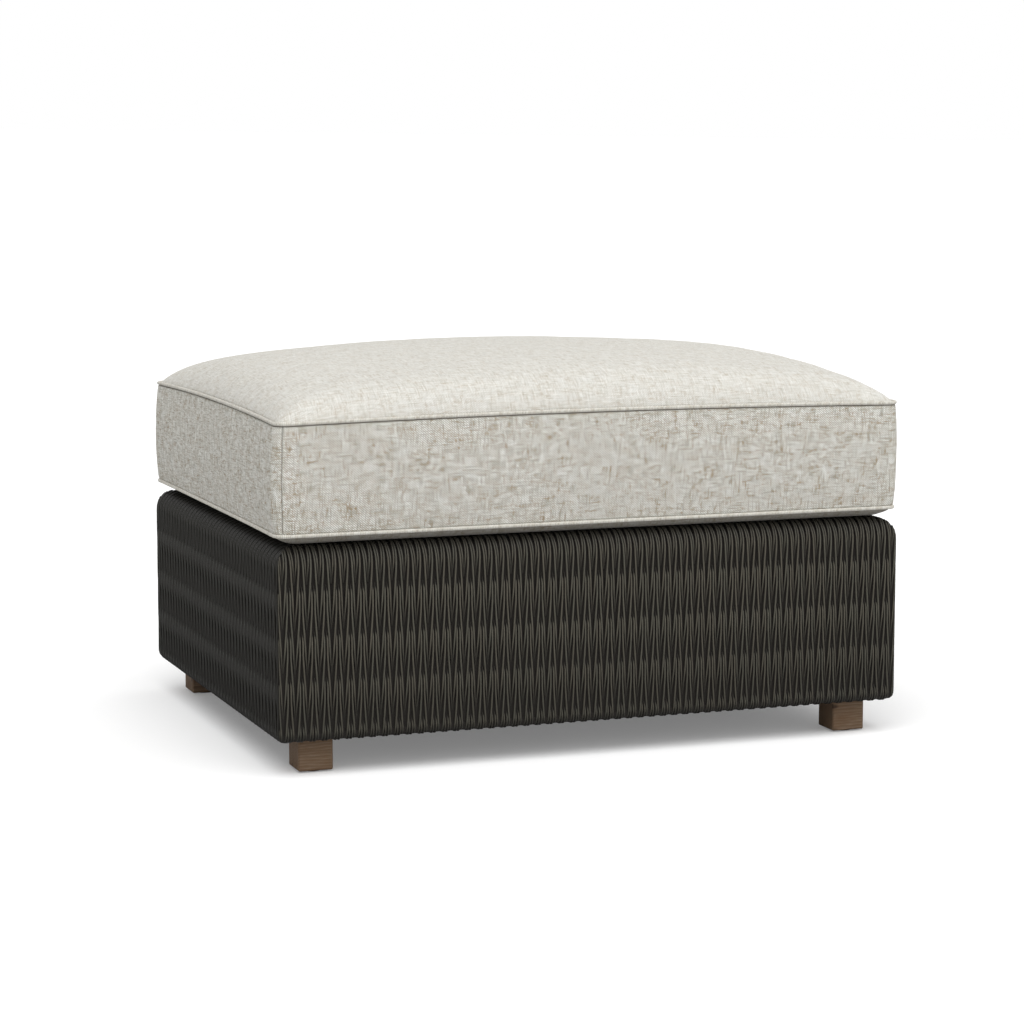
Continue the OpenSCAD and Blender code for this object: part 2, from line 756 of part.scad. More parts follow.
module slider_outline() {
  round_rect(slider_l - 2, slider_w - 3, 2);
  translate([-1, 0]) round_rect(slider_l - 2, slider_w, 2);
  translate([slider_l / 2 - 3, 0]) circle(3);
}

// Pull: a flat tab that hangs from the bar by an eye, with a hole to grip
pull_neck = 3.6;
eye_r = bar_d / 2 + 0.6;
module zip_pull() {
  pull_t = 1;
  grip_w = pull_w - 2.8;
  color(steel) at_zip(zip_rest_x) translate([0, bar_y, 0]) difference() {
    union() {
      rotate([0, 90, 0]) cylinder(h = pull_neck, r = eye_r, center = true);
      along_y(pull_t) difference() {
        union() {
          translate([-pull_neck / 2, -5]) square([pull_neck, 5]);
          translate([0, -pull_l / 2 - 1]) round_rect(pull_w, pull_l - 4, 2);
        }
        translate([0, -pull_l + 6]) round_rect(grip_w, 6, grip_w / 2 - 0.2);
      }
    }
    rotate([0, 90, 0]) cylinder(h = pull_neck + over, r = bar_d / 2 + pin_gap, center = true);
  }
}

top_rail_front();
top_rail_back();
top_rail_left();
top_rail_right();
low_rail_front();
low_rail_back();
low_rail_left();
low_rail_right();
corner_post_fl();
corner_post_fr();
corner_post_bl();
corner_post_br();
middle_post_front();
middle_post_back();
cross_members();
ribs_front();
ribs_back();
ribs_left();
ribs_right();
corner_ribs();
woven_front();
woven_back();
woven_left();
woven_right();
woven_deck();
foot_fl();
foot_fr();
foot_bl();
foot_br();
foot_plates();
foot_screws();
foot_washers();
foot_nuts();
foot_glides();
top_panel();
bottom_panel();
boxing_front();
boxing_left();
boxing_right();
boxing_back_upper();
boxing_back_lower();
top_welt();
bottom_welt();
foam_core();
fibre_top();
fibre_bottom();
zip_tapes();
zip_coils();
zip_stops();
zip_slider();
zip_pull();
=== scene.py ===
"""The looks of a rectangular ottoman with a woven body and a loose welted cushion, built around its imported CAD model.

Metres, +X to the ottoman's right, +Y to its back, +Z up, the floor at Z 0. Sections follow the order in which the
piece is made: frame, feet, woven walls and deck, filling, cover, welts, zip."""

import math

import bmesh
import bpy
import numpy as np
from mathutils import Matrix, Vector


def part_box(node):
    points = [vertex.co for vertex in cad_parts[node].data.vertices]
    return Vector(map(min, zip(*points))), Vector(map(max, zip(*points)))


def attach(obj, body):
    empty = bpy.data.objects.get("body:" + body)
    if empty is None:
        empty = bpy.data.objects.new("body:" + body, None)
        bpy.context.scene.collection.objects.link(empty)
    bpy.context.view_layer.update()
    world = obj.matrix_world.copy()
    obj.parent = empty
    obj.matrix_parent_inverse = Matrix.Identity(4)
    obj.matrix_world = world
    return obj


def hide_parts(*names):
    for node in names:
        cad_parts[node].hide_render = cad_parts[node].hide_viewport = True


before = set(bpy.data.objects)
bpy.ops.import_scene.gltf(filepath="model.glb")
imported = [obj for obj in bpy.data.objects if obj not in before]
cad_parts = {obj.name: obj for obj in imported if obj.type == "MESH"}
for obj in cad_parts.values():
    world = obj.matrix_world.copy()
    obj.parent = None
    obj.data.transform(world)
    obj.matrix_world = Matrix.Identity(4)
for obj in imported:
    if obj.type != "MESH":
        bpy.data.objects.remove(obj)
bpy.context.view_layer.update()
scene = bpy.context.scene
scene.view_settings.view_transform = "Standard"


# ---- Studio
# A pale floor that runs out of sight, a sky that is brightest ahead on the right, and one large soft lamp overhead.
# The camera stands low and well back, in front of the left corner, with a long lens.

lens, distance, sideways, height = 104.115, 3.9262, -0.0006, 0.2611
yaw, pitch = math.radians(-19.9544), math.radians(7.4825)
back = Vector((math.sin(yaw) * math.cos(pitch), -math.cos(yaw) * math.cos(pitch), math.sin(pitch)))
right = Vector((math.cos(yaw), math.sin(yaw), 0))
up = back.cross(right)


def added(name, data):
    """A new object in the scene."""
    made = bpy.data.objects.new(name, data)
    scene.collection.objects.link(made)
    return made


camera = added("camera", bpy.data.cameras.new("camera"))
camera.matrix_world = Matrix((right, up, back)).transposed().to_4x4()
camera.location = right * sideways + up * height + back * distance
camera.data.lens, camera.data.clip_end = lens, 1000
scene.camera = camera


class Output:
    """A node's output. Each sum or product with it adds a Math node to its tree."""

    def __init__(self, socket):
        self.socket, self.tree = socket, socket.id_data

    def calc(self, operation, *others):
        return out(self.tree, "Math", (self, *others), operation=operation)

    def __add__(self, other):
        return self.calc("ADD", other)

    def __sub__(self, other):
        return self.calc("SUBTRACT", other)

    def __mul__(self, other):
        return self.calc("MULTIPLY", other)

    def __truediv__(self, other):
        return self.calc("DIVIDE", other)


def put(tree, kind, values=(), **settings):
    """Adds a node of a kind, named without its family. Values go to its inputs, in order or by name."""
    kind = next(family + kind for family in ("ShaderNode", "GeometryNode", "") if hasattr(bpy.types, family + kind))
    node = tree.nodes.new(kind)
    for name, value in settings.items():
        setattr(node, name, value)
    for key, value in values.items() if isinstance(values, dict) else enumerate(values):
        if isinstance(value, Output):
            tree.links.new(value.socket, node.inputs[key])
        elif value is not None:
            node.inputs[key].default_value = value
    return node


def out(tree, kind, values=(), which=0, **settings):
    """Adds a node and gives its first output, or the one that is asked for."""
    return Output(put(tree, kind, values, **settings).outputs[which])


def parts(vector):
    """The x, y and z of a vector."""
    return [Output(socket) for socket in put(vector.tree, "SeparateXYZ", (vector,)).outputs]


white = (1, 1, 1, 1)
sky_strength, sky_right, sky_ahead, sun_strength, sun_spread = 0.71, 0.46, 0.52, 1.8, 56
scene.world = bpy.data.worlds.new("sky")
scene.world.use_nodes = True
tree = scene.world.node_tree
tree.nodes.clear()
camera_ray, glossy_ray, clear_ray = [
    out(tree, "LightPath", (), f"Is {ray} Ray") for ray in ("Camera", "Glossy", "Transmission")]
seen = camera_ray.calc("MAXIMUM", glossy_ray).calc("MAXIMUM", clear_ray)
to_right, to_back, _ = parts(out(tree, "TexCoord", (), "Generated"))
level = (to_right * sky_right + 1 - to_back * sky_ahead) * sky_strength
lit, plain = [out(tree, "Background", (white, strength)) for strength in (level, 1.0)]
put(tree, "OutputWorld", (out(tree, "MixShader", (seen, lit, plain)),))

lamp = added("lamp", bpy.data.lights.new("lamp", "SUN"))
lamp.data.energy, lamp.data.angle = sun_strength, math.radians(sun_spread)
lamp.rotation_euler = Vector((-0.22, -0.39, 1)).to_track_quat("Z", "Y").to_euler()

floor_lift, floor_paint_seen, floor_paint_lit = 0.18, 0.84, 0.58
floor_mesh = bpy.data.meshes.new("floor")
floor_mesh.from_pydata([(x, y, 0) for x, y in ((-60, -60), (60, -60), (60, 400), (-60, 400))], [], [(0, 1, 2, 3)])
floor = added("floor", floor_mesh)
floor_paint = bpy.data.materials.new("floor_paint")
floor_paint.use_nodes = True
tree = floor_paint.node_tree
tree.nodes.clear()
camera_ray = out(tree, "LightPath", (), "Is Camera Ray")
matt = out(tree, "BsdfDiffuse", (out(tree, "MapRange", (camera_ray, 0, 1, floor_paint_lit, floor_paint_seen)),))
glow = out(tree, "Emission", (white, camera_ray * floor_lift))
put(tree, "OutputMaterial", (out(tree, "AddShader", (matt, glow)),))
floor_mesh.materials.append(floor_paint)


# ---- Frame
# Welded square aluminium tube: an upper and a lower ring, posts, cross members under the deck, and flat ribs that
# carry the weave. Powder coated dark brown, so it has the coat's fine orange-peel and no bare metal.

def srgb(*levels):
    """A colour given as it is seen, in 0 to 255, in the linear numbers that a shader takes."""
    shares = [v / 255 for v in levels]
    return tuple(v / 12.92 if v <= 0.04045 else ((v + 0.055) / 1.055) ** 2.4 for v in shares) + (1.0,)


def finish(name, roughness, **fixed):
    """A material with its shader's fixed numbers set, and its tree."""
    material = bpy.data.materials.new(name)
    material.use_nodes = True
    inputs = material.node_tree.nodes["Principled BSDF"].inputs
    inputs["Roughness"].default_value = roughness
    for key, value in fixed.items():
        inputs[key.replace("_", " ")].default_value = value
    return material, material.node_tree


def dressed(tree, tone, height, strength, depth, roughness=None):
    """Gives a shader its tone, bump from a height between 0 and 1, that deep in metres, and its roughness."""
    bump = out(tree, "Bump", {"Strength": strength, "Distance": depth, "Height": height})
    for key, value in {"Base Color": tone, "Normal": bump, "Roughness": roughness}.items():
        if value:
            tree.links.new(value.socket, tree.nodes["Principled BSDF"].inputs[key])


def placed(tree, x=1.0, y=1.0, z=1.0, source=None):
    """Object coordinates, or another vector, stretched by three numbers."""
    return out(tree, "VectorMath", (source or out(tree, "TexCoord", (), "Object"), (x, y, z)), operation="MULTIPLY")


def noise(place, scale, detail=2.0, roughness=0.5):
    values = {"Vector": place, "Scale": scale, "Detail": detail, "Roughness": roughness}
    return out(place.tree, "TexNoise", values, "Fac")


def spread(value, low, high, to_low=0.0, to_high=1.0):
    return out(value.tree, "MapRange", (value, low, high, to_low, to_high))


def blended(share, a, b):
    return out(share.tree, "Mix", {0: share, 6: a, 7: b}, 2, data_type="RGBA")


def tinted(tone, *tints):
    """Lays tints over a tone: for each a value, where on it the tint begins and is full, its most, and its colour."""
    for value, begins, full, most, colour in tints:
        tone = blended(spread(value, begins, full, 0, most), tone, srgb(*colour))
    return tone


def finished(material, *nodes):
    """Gives CAD nodes their finish."""
    for name in nodes:
        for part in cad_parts[name].material_slots:
            part.material = material


powder_coat, tree = finish("powder_coat", 0.52, Specular_IOR_Level=0.45)
place = placed(tree)
dressed(tree, tinted(srgb(42, 40, 36), (noise(place, 55, 3), 0.35, 0.7, 1, (54, 51, 46))),
        noise(place, 900, 3), 0.35, 0.0003, spread(noise(place, 140), 0.3, 0.7, 0.44, 0.62))
sides = ("front", "back", "left", "right")
corners = ("fl", "fr", "bl", "br")
finished(powder_coat, *[f"{ring}_rail_{s}" for ring in ("top", "low") for s in sides],
         *[f"corner_post_{c}" for c in corners], "middle_post_front", "middle_post_back", "cross_members",
         *[f"ribs_{s}" for s in sides], "corner_ribs", "foot_plates")


# ---- Feet
# Four square blocks of an open-grained brown wood, oiled, with the grain lying level across the front. Each is held
# by a zinc-plated socket screw, washer and weld nut, and stands on a black plastic glide pressed into the pocket.

heart_y, heart_z, rings_per_metre = -0.42, -0.16, 330
oiled_wood, tree = finish("oiled_wood", 0.62, Specular_IOR_Level=0.15)
x, y, z = parts(placed(tree))
y, z = y - heart_y, z - heart_z
wander = noise(placed(tree, 9, 60, 60), 1.0, 3)
rings = ((y * y + z * z).calc("SQRT") * rings_per_metre + wander * 3.2).calc("FRACT")
fibres = noise(placed(tree, 60, 1500, 1500), 1.0, 4, 0.6)
patches = noise(placed(tree, 25, 70, 70), 1.0, 2)
knots = out(tree, "TexVoronoi", {"Vector": placed(tree, 26, 60, 60), "Scale": 1.0}, "Distance")
tone = tinted(srgb(126, 107, 89), (rings, 0.05, 0.95, 1, (100, 82, 65)), (fibres, 0.40, 0.72, 1, (102, 78, 56)),
              (patches, 0.55, 0.75, 0.55, (98, 74, 53)), (knots, 0.22, 0.10, 0.75, (48, 36, 28)))
dressed(tree, tone, fibres + rings * 0.4, 0.5, 0.0003, spread(fibres, 0.3, 0.7, 0.56, 0.72))
finished(oiled_wood, *[f"foot_{c}" for c in corners])

zinc_plate, tree = finish("zinc_plate", 0.34, Metallic=1.0)
place = placed(tree)
dressed(tree, blended(noise(place, 260, 3), (0.42, 0.42, 0.43, 1), (0.66, 0.66, 0.65, 1)),
        noise(placed(tree, 1, 1, 12), 500, 2), 0.2, 0.0002, spread(noise(place, 700, 2), 0.3, 0.7, 0.26, 0.44))
finished(zinc_plate, "foot_screws", "foot_washers", "foot_nuts")

black_nylon, tree = finish("black_nylon", 0.6)
place = placed(tree)
dressed(tree, blended(noise(place, 300, 3), srgb(22, 22, 22), srgb(36, 36, 35)), noise(place, 1600, 2), 0.3, 0.0002)
finished(black_nylon, "foot_glides")


# ---- Woven walls
# Round synthetic cane, 2.4 mm thick, braided in upright columns 15 mm apart. In each column a pair of canes comes
# up at the middle every 54.5 mm, runs down side by side, parts, and dives into the valley between two columns. The
# canes run straight over the rounded top edge and turn under the body at the bottom, and meet in mitres.

wall_low, wall_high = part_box("woven_front")
side_low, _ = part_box("woven_left")
_, deck_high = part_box("woven_deck")
body_w, body_d = -2 * side_low.x, -2 * wall_low.y
body_z0, body_z1 = wall_low.z, wall_high.z
top_edge_r, fullness, low_edge_r, corner_r, turn_under = 0.030, 0.84, 0.012, 0.0065, 0.024
column_pitch, rise, pairs, pair_level = 0.01505, 0.05455, 7, 0.2236
cane_r, cane_run, cane_steps, top_start, start_deep = 0.0013, 0.108, 24, 0.03, 0.006
# the dark sheet of painted shade behind the canes lies this deep, less at the rim and the corners, and is this thick
shade_sheet_depth, rim_depth, corner_depth, shade_sheet_t = 0.0046, 0.0011, 0.0024, 0.0005
# along the cane: way down from where it comes up, distance from the column's middle, depth of its middle, thickness
cane_path = ((0, 1.5, 4.8, 0.60), (4, 1.6, 3.9, 0.80), (8, 1.75, 2.0, 0.97), (13, 1.88, 1.2, 1), (21, 1.88, 0.95, 1),
             (29, 1.9, 0.9, 1), (38, 2.4, 0.9, 1), (48, 3.0, 0.95, 1), (58, 3.76, 1.0, 1), (68, 4.5, 1.1, 1),
             (78, 5.1, 1.5, 1), (88, 5.8, 2.4, 0.98), (94, 6.3, 2.9, 0.95), (100, 6.7, 3.4, 0.92),
             (108, 7.1, 4.5, 0.80))


def follow(share, column, top):
    """A smooth curve through one column of the cane's path, as a share of top."""
    node = put(share.tree, "FloatCurve", (1.0, share))
    spots = [(row[0] / cane_path[-1][0], row[column] / top) for row in cane_path]
    points = node.mapping.curves[0].points
    for spot in spots[1:-1]:
        points.new(*spot)
    points[0].location, points[-1].location = spots[0], spots[-1]
    node.mapping.update()
    return Output(node.outputs[0])


def tree_with(name, whole, real):
    """A Geometry Nodes tree with a geometry input and these sizes: returns it, its inputs by name and its output."""
    tree = bpy.data.node_groups.new(name, "GeometryNodeTree")
    tree.interface.new_socket(name="Geometry", in_out="OUTPUT", socket_type="NodeSocketGeometry")
    for kind, sizes in (("Geometry", ("Geometry",)), ("Int", whole), ("Float", real)):
        for size in sizes:
            tree.interface.new_socket(name=size, in_out="INPUT", socket_type=f"NodeSocket{kind}")
    inputs = put(tree, "NodeGroupInput").outputs
    return tree, {socket.name: Output(socket) for socket in inputs}, put(tree, "NodeGroupOutput")


def store(geometry, name, value, domain="POINT", kind="FLOAT"):
    return out(geometry.tree, "StoreNamedAttribute", {"Geometry": geometry, "Name": name, "Value": value},
               data_type=kind, domain=domain)


def stored(tree, name, kind="FLOAT"):
    return out(tree, "InputNamedAttribute", (name,), data_type=kind)


def copies(points, one, name):
    """A copy of a curve for each point, which holds its number under a name."""
    laid = out(points.tree, "InstanceOnPoints", {"Points": points, "Instance": one})
    laid = store(laid, name, out(points.tree, "InputIndex"), "INSTANCE")
    return out(points.tree, "RealizeInstances", (laid,))


def circle(tree, radius, corners=6):
    return out(tree, "CurvePrimitiveCircle", {"Resolution": corners, "Radius": radius})


def swept(curve, profile, scale=None):
    """A profile drawn along curves, with closed ends."""
    return out(curve.tree, "CurveToMesh", {"Curve": curve, "Profile Curve": profile, "Scale": scale, "Fill Caps": True})


def ended(output, geometry, material):
    """Smooth faces, real geometry and the material, at the end of a tree."""
    tree = geometry.tree
    real = out(tree, "RealizeInstances", (out(tree, "SetShadeSmooth", (geometry,)),))
    painted = out(tree, "SetMaterial", {"Geometry": real, "Material": material})
    tree.links.new(painted.socket, output.inputs[0])


cane, tree = finish("cane", 0.5, Specular_IOR_Level=0.22)
which, way, sink, ridge, painted_side_shade = [
    out(tree, "Attribute", (), "Fac", attribute_name=name) for name in ("cane", "way", "sink", "ridge", "painted_side_shade")]
chance = out(tree, "TexWhiteNoise", {"W": which}, "Value", noise_dimensions="1D")
place = out(tree, "CombineXYZ", (way * 160, which * 7.31, 0))
streak = noise(placed(tree, 1, 1, 0.08), 900, 2)
low = parts(placed(tree))[2]
# After the streaks, the tints are painted shade: on the flanks of the canes, on the side walls, at the bottom where the
# canes turn under the body and fading up from there, under the cushion at the top, and where the canes lie deep in the
# weave.
tone = tinted(srgb(81, 80, 71), (chance, 0.35, 0.65, 1, (84, 80, 70)),
              (noise(place, 1.0, 2), 0.35, 0.7, 0.5, (80, 76, 66)),
              (streak, 0.4, 0.7, 0.35, (113, 108, 96)), (ridge, 0.99, 0.30, 0.74, (38, 36, 32)),
              (painted_side_shade, 0, 1, 1, (33, 32, 28)), (low, body_z0 + 0.013, body_z0 + 0.004, 0.75, (20, 19, 17)),
              (low, body_z0 + 0.14, body_z0, 0.34, (20, 19, 17)),
              (low, body_z1 - 0.024, body_z1 - 0.006, 0.6, (24, 23, 21)), (sink, 0.0014, 0.0034, 0.75, (30, 28, 25)))
dressed(tree, tone, streak, 0.25, 0.0002)

# A dark sheet behind the canes: its colour is painted shade for the inside of the body that shows between them.
shade_sheet, tree = finish("shade_sheet", 0.8, Specular_IOR_Level=0.2)
cord = out(tree, "TexWave", {"Vector": placed(tree), "Scale": 200, "Distortion": 1.5}, "Fac")
dressed(tree, blended(cord, srgb(30, 28, 26), srgb(46, 43, 39)), cord, 0.5, 0.0005)

braid, size, output = tree_with(
    "braid", ("Columns", "Pairs"), ("Column pitch", "First pair", "Rise", "Cane run", "Cane radius", "Top start"))
edge = out(braid, "MeshToCurve", (size["Geometry"],))
edge_length = out(braid, "CurveLength", (edge,))
per_column = size["Pairs"] * 2
spots = out(braid, "MeshLine", {"Count": size["Columns"] * per_column})
one = out(braid, "ResampleCurve", {"Curve": out(braid, "CurvePrimitiveLine"), "Count": cane_steps})
canes = copies(spots, one, "cane")
canes = store(canes, "share", out(braid, "SplineParameter", (), "Factor").calc("POWER", 1.3))
share, which = stored(braid, "share"), stored(braid, "cane")
canes = store(canes, "way", share * size["Cane run"])
column = ((which + 0.5) / per_column).calc("FLOOR")
rest = which - column * per_column
pair = ((rest + 0.5) / 2).calc("FLOOR")
hand = (rest - pair * 2) * 2 - 1
along = size["First pair"] + pair * size["Rise"] + stored(braid, "way")
# the first pair that shows on the side begins early, so that its ends lie hidden over the top edge
early = size["Top start"] * pair.calc("COMPARE", 2, 0.5) * (share * -1 + 1).calc("POWER", 2)
canes = store(canes, "along", along - early)
along = stored(braid, "along")
near_rim, past_rim = 0.035, 0.062
depth = follow(share, 2, 5) * spread(along, near_rim, past_rim, 0.002, 0.005)
canes = store(canes, "sink", depth)
margin = 0.008
outside = along.calc("LESS_THAN", -margin).calc("MAXIMUM", along.calc("GREATER_THAN", edge_length + margin))
canes = out(braid, "DeleteGeometry", (canes, outside), domain="POINT")
on_edge = along.calc("MAXIMUM", 0.0).calc("MINIMUM", edge_length)
spot = put(braid, "SampleCurve", {"Curves": edge, "Length": on_edge}, mode="LENGTH").outputs
outward = out(braid, "VectorMath", (Output(spot["Tangent"]), (1, 0, 0)), operation="CROSS_PRODUCT")
canes = store(canes, "out", outward, kind="FLOAT_VECTOR")
middle = (column - (size["Columns"] - 1) * 0.5) * size["Column pitch"]
aside = follow(share, 1, 7.5) * (hand * spread(along, near_rim, past_rim, 1.1, 1.0)) * (size["Column pitch"] * 0.5)
shift = out(braid, "CombineXYZ", (middle + aside,))
inward = out(braid, "VectorMath", {0: outward, "Scale": stored(braid, "sink") * -1}, operation="SCALE")
place = out(braid, "VectorMath", (Output(spot["Position"]), shift), operation="ADD")
place = out(braid, "VectorMath", (place, inward), operation="ADD")
canes = out(braid, "SetPosition", {"Geometry": canes, "Position": place})
canes = swept(canes, circle(braid, size["Cane radius"]), follow(share, 3, 1))
# How far each point of a cane faces the wall's outside, kept as ridge: the flanks of the canes get painted shade from
# it.
face = out(braid, "VectorMath", (out(braid, "InputNormal"), stored(braid, "out", "FLOAT_VECTOR")), "Value",
           operation="DOT_PRODUCT")
ended(output, store(canes, "ridge", face), cane)


def wall_edge(name, half, reach):
    """Outline of a woven wall from the deck's rim over the top edge, down, and under the body, as a thin line."""
    line = [(half - reach, body_z1)]
    for a in np.linspace(0, math.pi / 2, 17):
        across, up = math.sin(a) ** fullness, math.cos(a) ** fullness
        line.append((half - top_edge_r + top_edge_r * across, body_z1 - top_edge_r + top_edge_r * up))
    for a in np.linspace(0, math.pi / 2, 9):
        line.append((half - low_edge_r + low_edge_r * math.cos(a), body_z0 + low_edge_r - low_edge_r * math.sin(a)))
    line.append((half - turn_under, body_z0))
    mesh = bpy.data.meshes.new(name)
    mesh.from_pydata([(0, -y, z) for y, z in line], [(i, i + 1) for i in range(len(line) - 1)], [])
    return mesh, np.array(line)


def grown(name, mesh, tree, sizes):
    """Runs a tree on a mesh with these sizes and leaves an object with the plain mesh that it makes."""
    obj = added(name, mesh)
    modifier = obj.modifiers.new(tree.name, "NODES")
    modifier.node_group = tree
    for socket in tree.interface.items_tree:
        if socket.in_out == "INPUT" and socket.name in sizes:
            modifier[socket.identifier] = sizes[socket.name]
    bpy.context.view_layer.update()
    mesh = bpy.data.meshes.new_from_object(obj.evaluated_get(bpy.context.evaluated_depsgraph_get()))
    obj.modifiers.clear()
    obj.data = mesh
    return obj


def add_shade_sheet(mesh, line, half_w):
    """Adds a thin dark sheet behind the canes, painted shade for the dark inside of the body between them: the wall's
    outline moved in, less so at its edges and mitred ends.
    """
    step = np.gradient(line, axis=0)
    step /= np.linalg.norm(step, axis=1)[:, None]
    outward = np.stack([-step[:, 1], step[:, 0]], 1)
    bm = bmesh.new()
    bm.from_mesh(mesh)
    half = line[:, 0].max()
    low = np.clip((body_z0 + low_edge_r + 0.004 - line[:, 1]) / 0.010, 0, 1)
    inner = np.clip(1 - np.arange(len(line)) / 6, 0, 1)
    deep = (shade_sheet_depth + (rim_depth - shade_sheet_depth) * np.maximum(low, inner))[:, None]
    loops = [np.concatenate([line - outward * depth, (line - outward * (depth + shade_sheet_t))[::-1]]).tolist()
             for depth in (deep, np.minimum(deep, corner_depth))]
    rings = []
    for (y, z), (end_y, end_z) in zip(*loops):
        x, end_x = half_w - (half - y) - 0.010, half_w - (half - end_y)
        row = ((-end_x, -end_y, end_z), (-x, -y, z), (x, -y, z), (end_x, -end_y, end_z))
        rings.append([bm.verts.new(p) for p in row])
    for i, a in enumerate(rings):
        b = rings[(i + 1) % len(rings)]
        for j in range(3):
            bm.faces.new((a[j], a[j + 1], b[j + 1], b[j])).material_index = 1
    for i in range(len(line) - 1):
        j = 2 * len(line) - 2 - i
        bm.faces.new((rings[i][0], rings[i + 1][0], rings[j][0], rings[j + 1][0])).material_index = 1
        bm.faces.new((rings[i + 1][3], rings[i][3], rings[j + 1][3], rings[j][3])).material_index = 1
    bm.to_mesh(mesh)
    bm.free()
    mesh.materials.append(shade_sheet)


def mitred(mesh, half_w, half_d):
    """Cuts canes off at the mitres with the next walls, closes their ends and rounds the corners."""
    bm = bmesh.new()
    bm.from_mesh(mesh)
    for s in (-1, 1):
        bmesh.ops.bisect_plane(bm, geom=bm.verts[:] + bm.edges[:] + bm.faces[:], dist=1e-6,
                               plane_co=(s * half_w, -half_d, 0), plane_no=(s, 1, 0), clear_outer=True)
    bmesh.ops.holes_fill(bm, edges=[e for e in bm.edges if e.is_boundary], sides=40)
    bm.to_mesh(mesh)
    bm.free()
    at = np.zeros(len(mesh.vertices) * 3)
    mesh.vertices.foreach_get("co", at)
    at = at.reshape(-1, 3)
    round_from = np.array([half_w, half_d]) - corner_r
    past = np.abs(at[:, :2]) - round_from
    far = np.hypot(past[:, 0], past[:, 1])
    near = (past > 0).all(1)
    limit = np.clip(corner_r - (half_d + at[:, 1]), 0.0003, corner_r)
    pull = np.where(near & (far > limit), limit / np.maximum(far, 1e-6), 1.0)[:, None]
    at[:, :2] = np.where(near[:, None], np.sign(at[:, :2]) * (round_from + past * pull), at[:, :2])
    mesh.vertices.foreach_set("co", at.ravel())
    mesh.update()


# Painted shade over all the canes of a wall: the left and right walls are painted darker than the front and back.
side_shade = {"front": 0.0, "right": 0.6, "back": 0.0, "left": 0.95}
for side, turn in {"front": 0, "right": 90, "back": 180, "left": -90}.items():
    half_w, half_d = (body_w / 2, body_d / 2) if side in ("front", "back") else (body_d / 2, body_w / 2)
    reach = half_d - (deck_high.y if side in ("front", "back") else deck_high.x)
    intervals = round(2 * half_w / column_pitch)
    mesh, line = wall_edge(f"weave_{side}", half_d, reach)
    over_top = np.linalg.norm(np.diff(line, axis=0), axis=1)[:17].sum()
    level = over_top + (body_z1 - top_edge_r - pair_level) - start_deep
    weave = grown(f"weave_{side}", mesh, braid, {
        "Columns": intervals + 1, "Column pitch": 2 * half_w / intervals, "Pairs": pairs, "Rise": rise,
        "First pair": level - 3 * rise, "Cane run": cane_run, "Cane radius": cane_r, "Top start": top_start})
    mitred(weave.data, half_w, half_d)
    add_shade_sheet(weave.data, line, half_w)
    weave.data.transform(Matrix.Rotation(math.radians(turn), 4, "Z"))
    # this wall's share of that painted shade, read by the cane material
    painted_side_shade = weave.data.attributes.new("painted_side_shade", "FLOAT", "POINT")
    painted_side_shade.data.foreach_set("value", [side_shade[side]] * len(weave.data.vertices))
    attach(weave, "base")
    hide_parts(f"woven_{side}")


# ---- Woven deck
# Flat cane in a plain over-and-under weave on the cross members, filling the opening between the walls. Two round
# canes, twisted round each other, run along its rim and hold down the ends of the strips.

strip_pitch, strip_w, strip_t, strip_wave, strips_across, strips_along = 0.0149, 0.0128, 0.0011, 0.00075, 35, 47
deck_level = deck_high.z - 0.0024

flat_cane, tree = finish("flat_cane", 0.5, Specular_IOR_Level=0.4)
strips = noise(placed(tree, 60, 60, 1), 1.0, 1)
streak = noise(placed(tree, 500, 500, 300), 1.0, 3)
tone = tinted(srgb(70, 68, 61), (strips, 0.4, 0.6, 1, (80, 74, 64)), (streak, 0.35, 0.7, 0.5, (54, 51, 45)))
dressed(tree, tone, streak, 0.35, 0.0002, spread(streak, 0.3, 0.7, 0.42, 0.6))

plain_weave, size, output = tree_with(
    "plain_weave", ("Strips", "Crossings"), ("Pitch", "Strip width", "Strip thickness", "Wave", "Over first"))
tree, pitch, crossings = plain_weave, size["Pitch"], size["Crossings"]
rows = out(tree, "MeshLine", {"Count": size["Strips"], "Offset": out(tree, "CombineXYZ", {1: pitch})})
half_run = crossings * pitch * 0.5
line = out(tree, "CurvePrimitiveLine", [out(tree, "CombineXYZ", (half_run * s,)) for s in (-1, 1)])
one = out(tree, "ResampleCurve", {"Curve": line, "Count": crossings * 4 + 1})
laid = copies(rows, one, "strip")
x, y, z = parts(out(tree, "InputPosition"))
crossing = x / pitch + (crossings - 1) * 0.5
turn = (crossing + stored(tree, "strip") + size["Over first"]) * math.pi
middle = (size["Strips"] - 1) * pitch * -0.5
offset = out(tree, "CombineXYZ", {1: middle, 2: turn.calc("COSINE") * size["Wave"]})
laid = out(tree, "SetPosition", {"Geometry": laid, "Offset": offset})
laid = out(tree, "SetCurveNormal", (laid,), mode="Z_UP")
flat = out(tree, "CombineXYZ", (size["Strip width"], size["Strip thickness"], 1.0))
oval = out(tree, "Transform", {"Geometry": circle(tree, 0.5), "Scale": flat})
ended(output, swept(laid, oval), flat_cane)

twist, size, output = tree_with("twisted_rim", ("Canes",), ("Turn length", "Cane radius", "Spread"))
rim = out(twist, "MeshToCurve", (size["Geometry"],))
rim = out(twist, "ResampleCurve", {"Curve": rim, "Count": 900})
both = copies(out(twist, "MeshLine", {"Count": size["Canes"], "Offset": (0, 0, 0)}), rim, "strand")
length = out(twist, "SplineParameter", (), "Length")
turn = length / size["Turn length"] * (2 * math.pi) + stored(twist, "strand") / size["Canes"] * (2 * math.pi)
aside = out(twist, "VectorMath", (out(twist, "InputTangent"), (0, 0, 1)), operation="CROSS_PRODUCT")
aside = out(twist, "VectorMath", {0: aside, "Scale": turn.calc("COSINE") * size["Spread"]}, operation="SCALE")
lift = out(twist, "CombineXYZ", {2: turn.calc("SINE") * size["Spread"]})
offset = out(twist, "VectorMath", (aside, lift), operation="ADD")
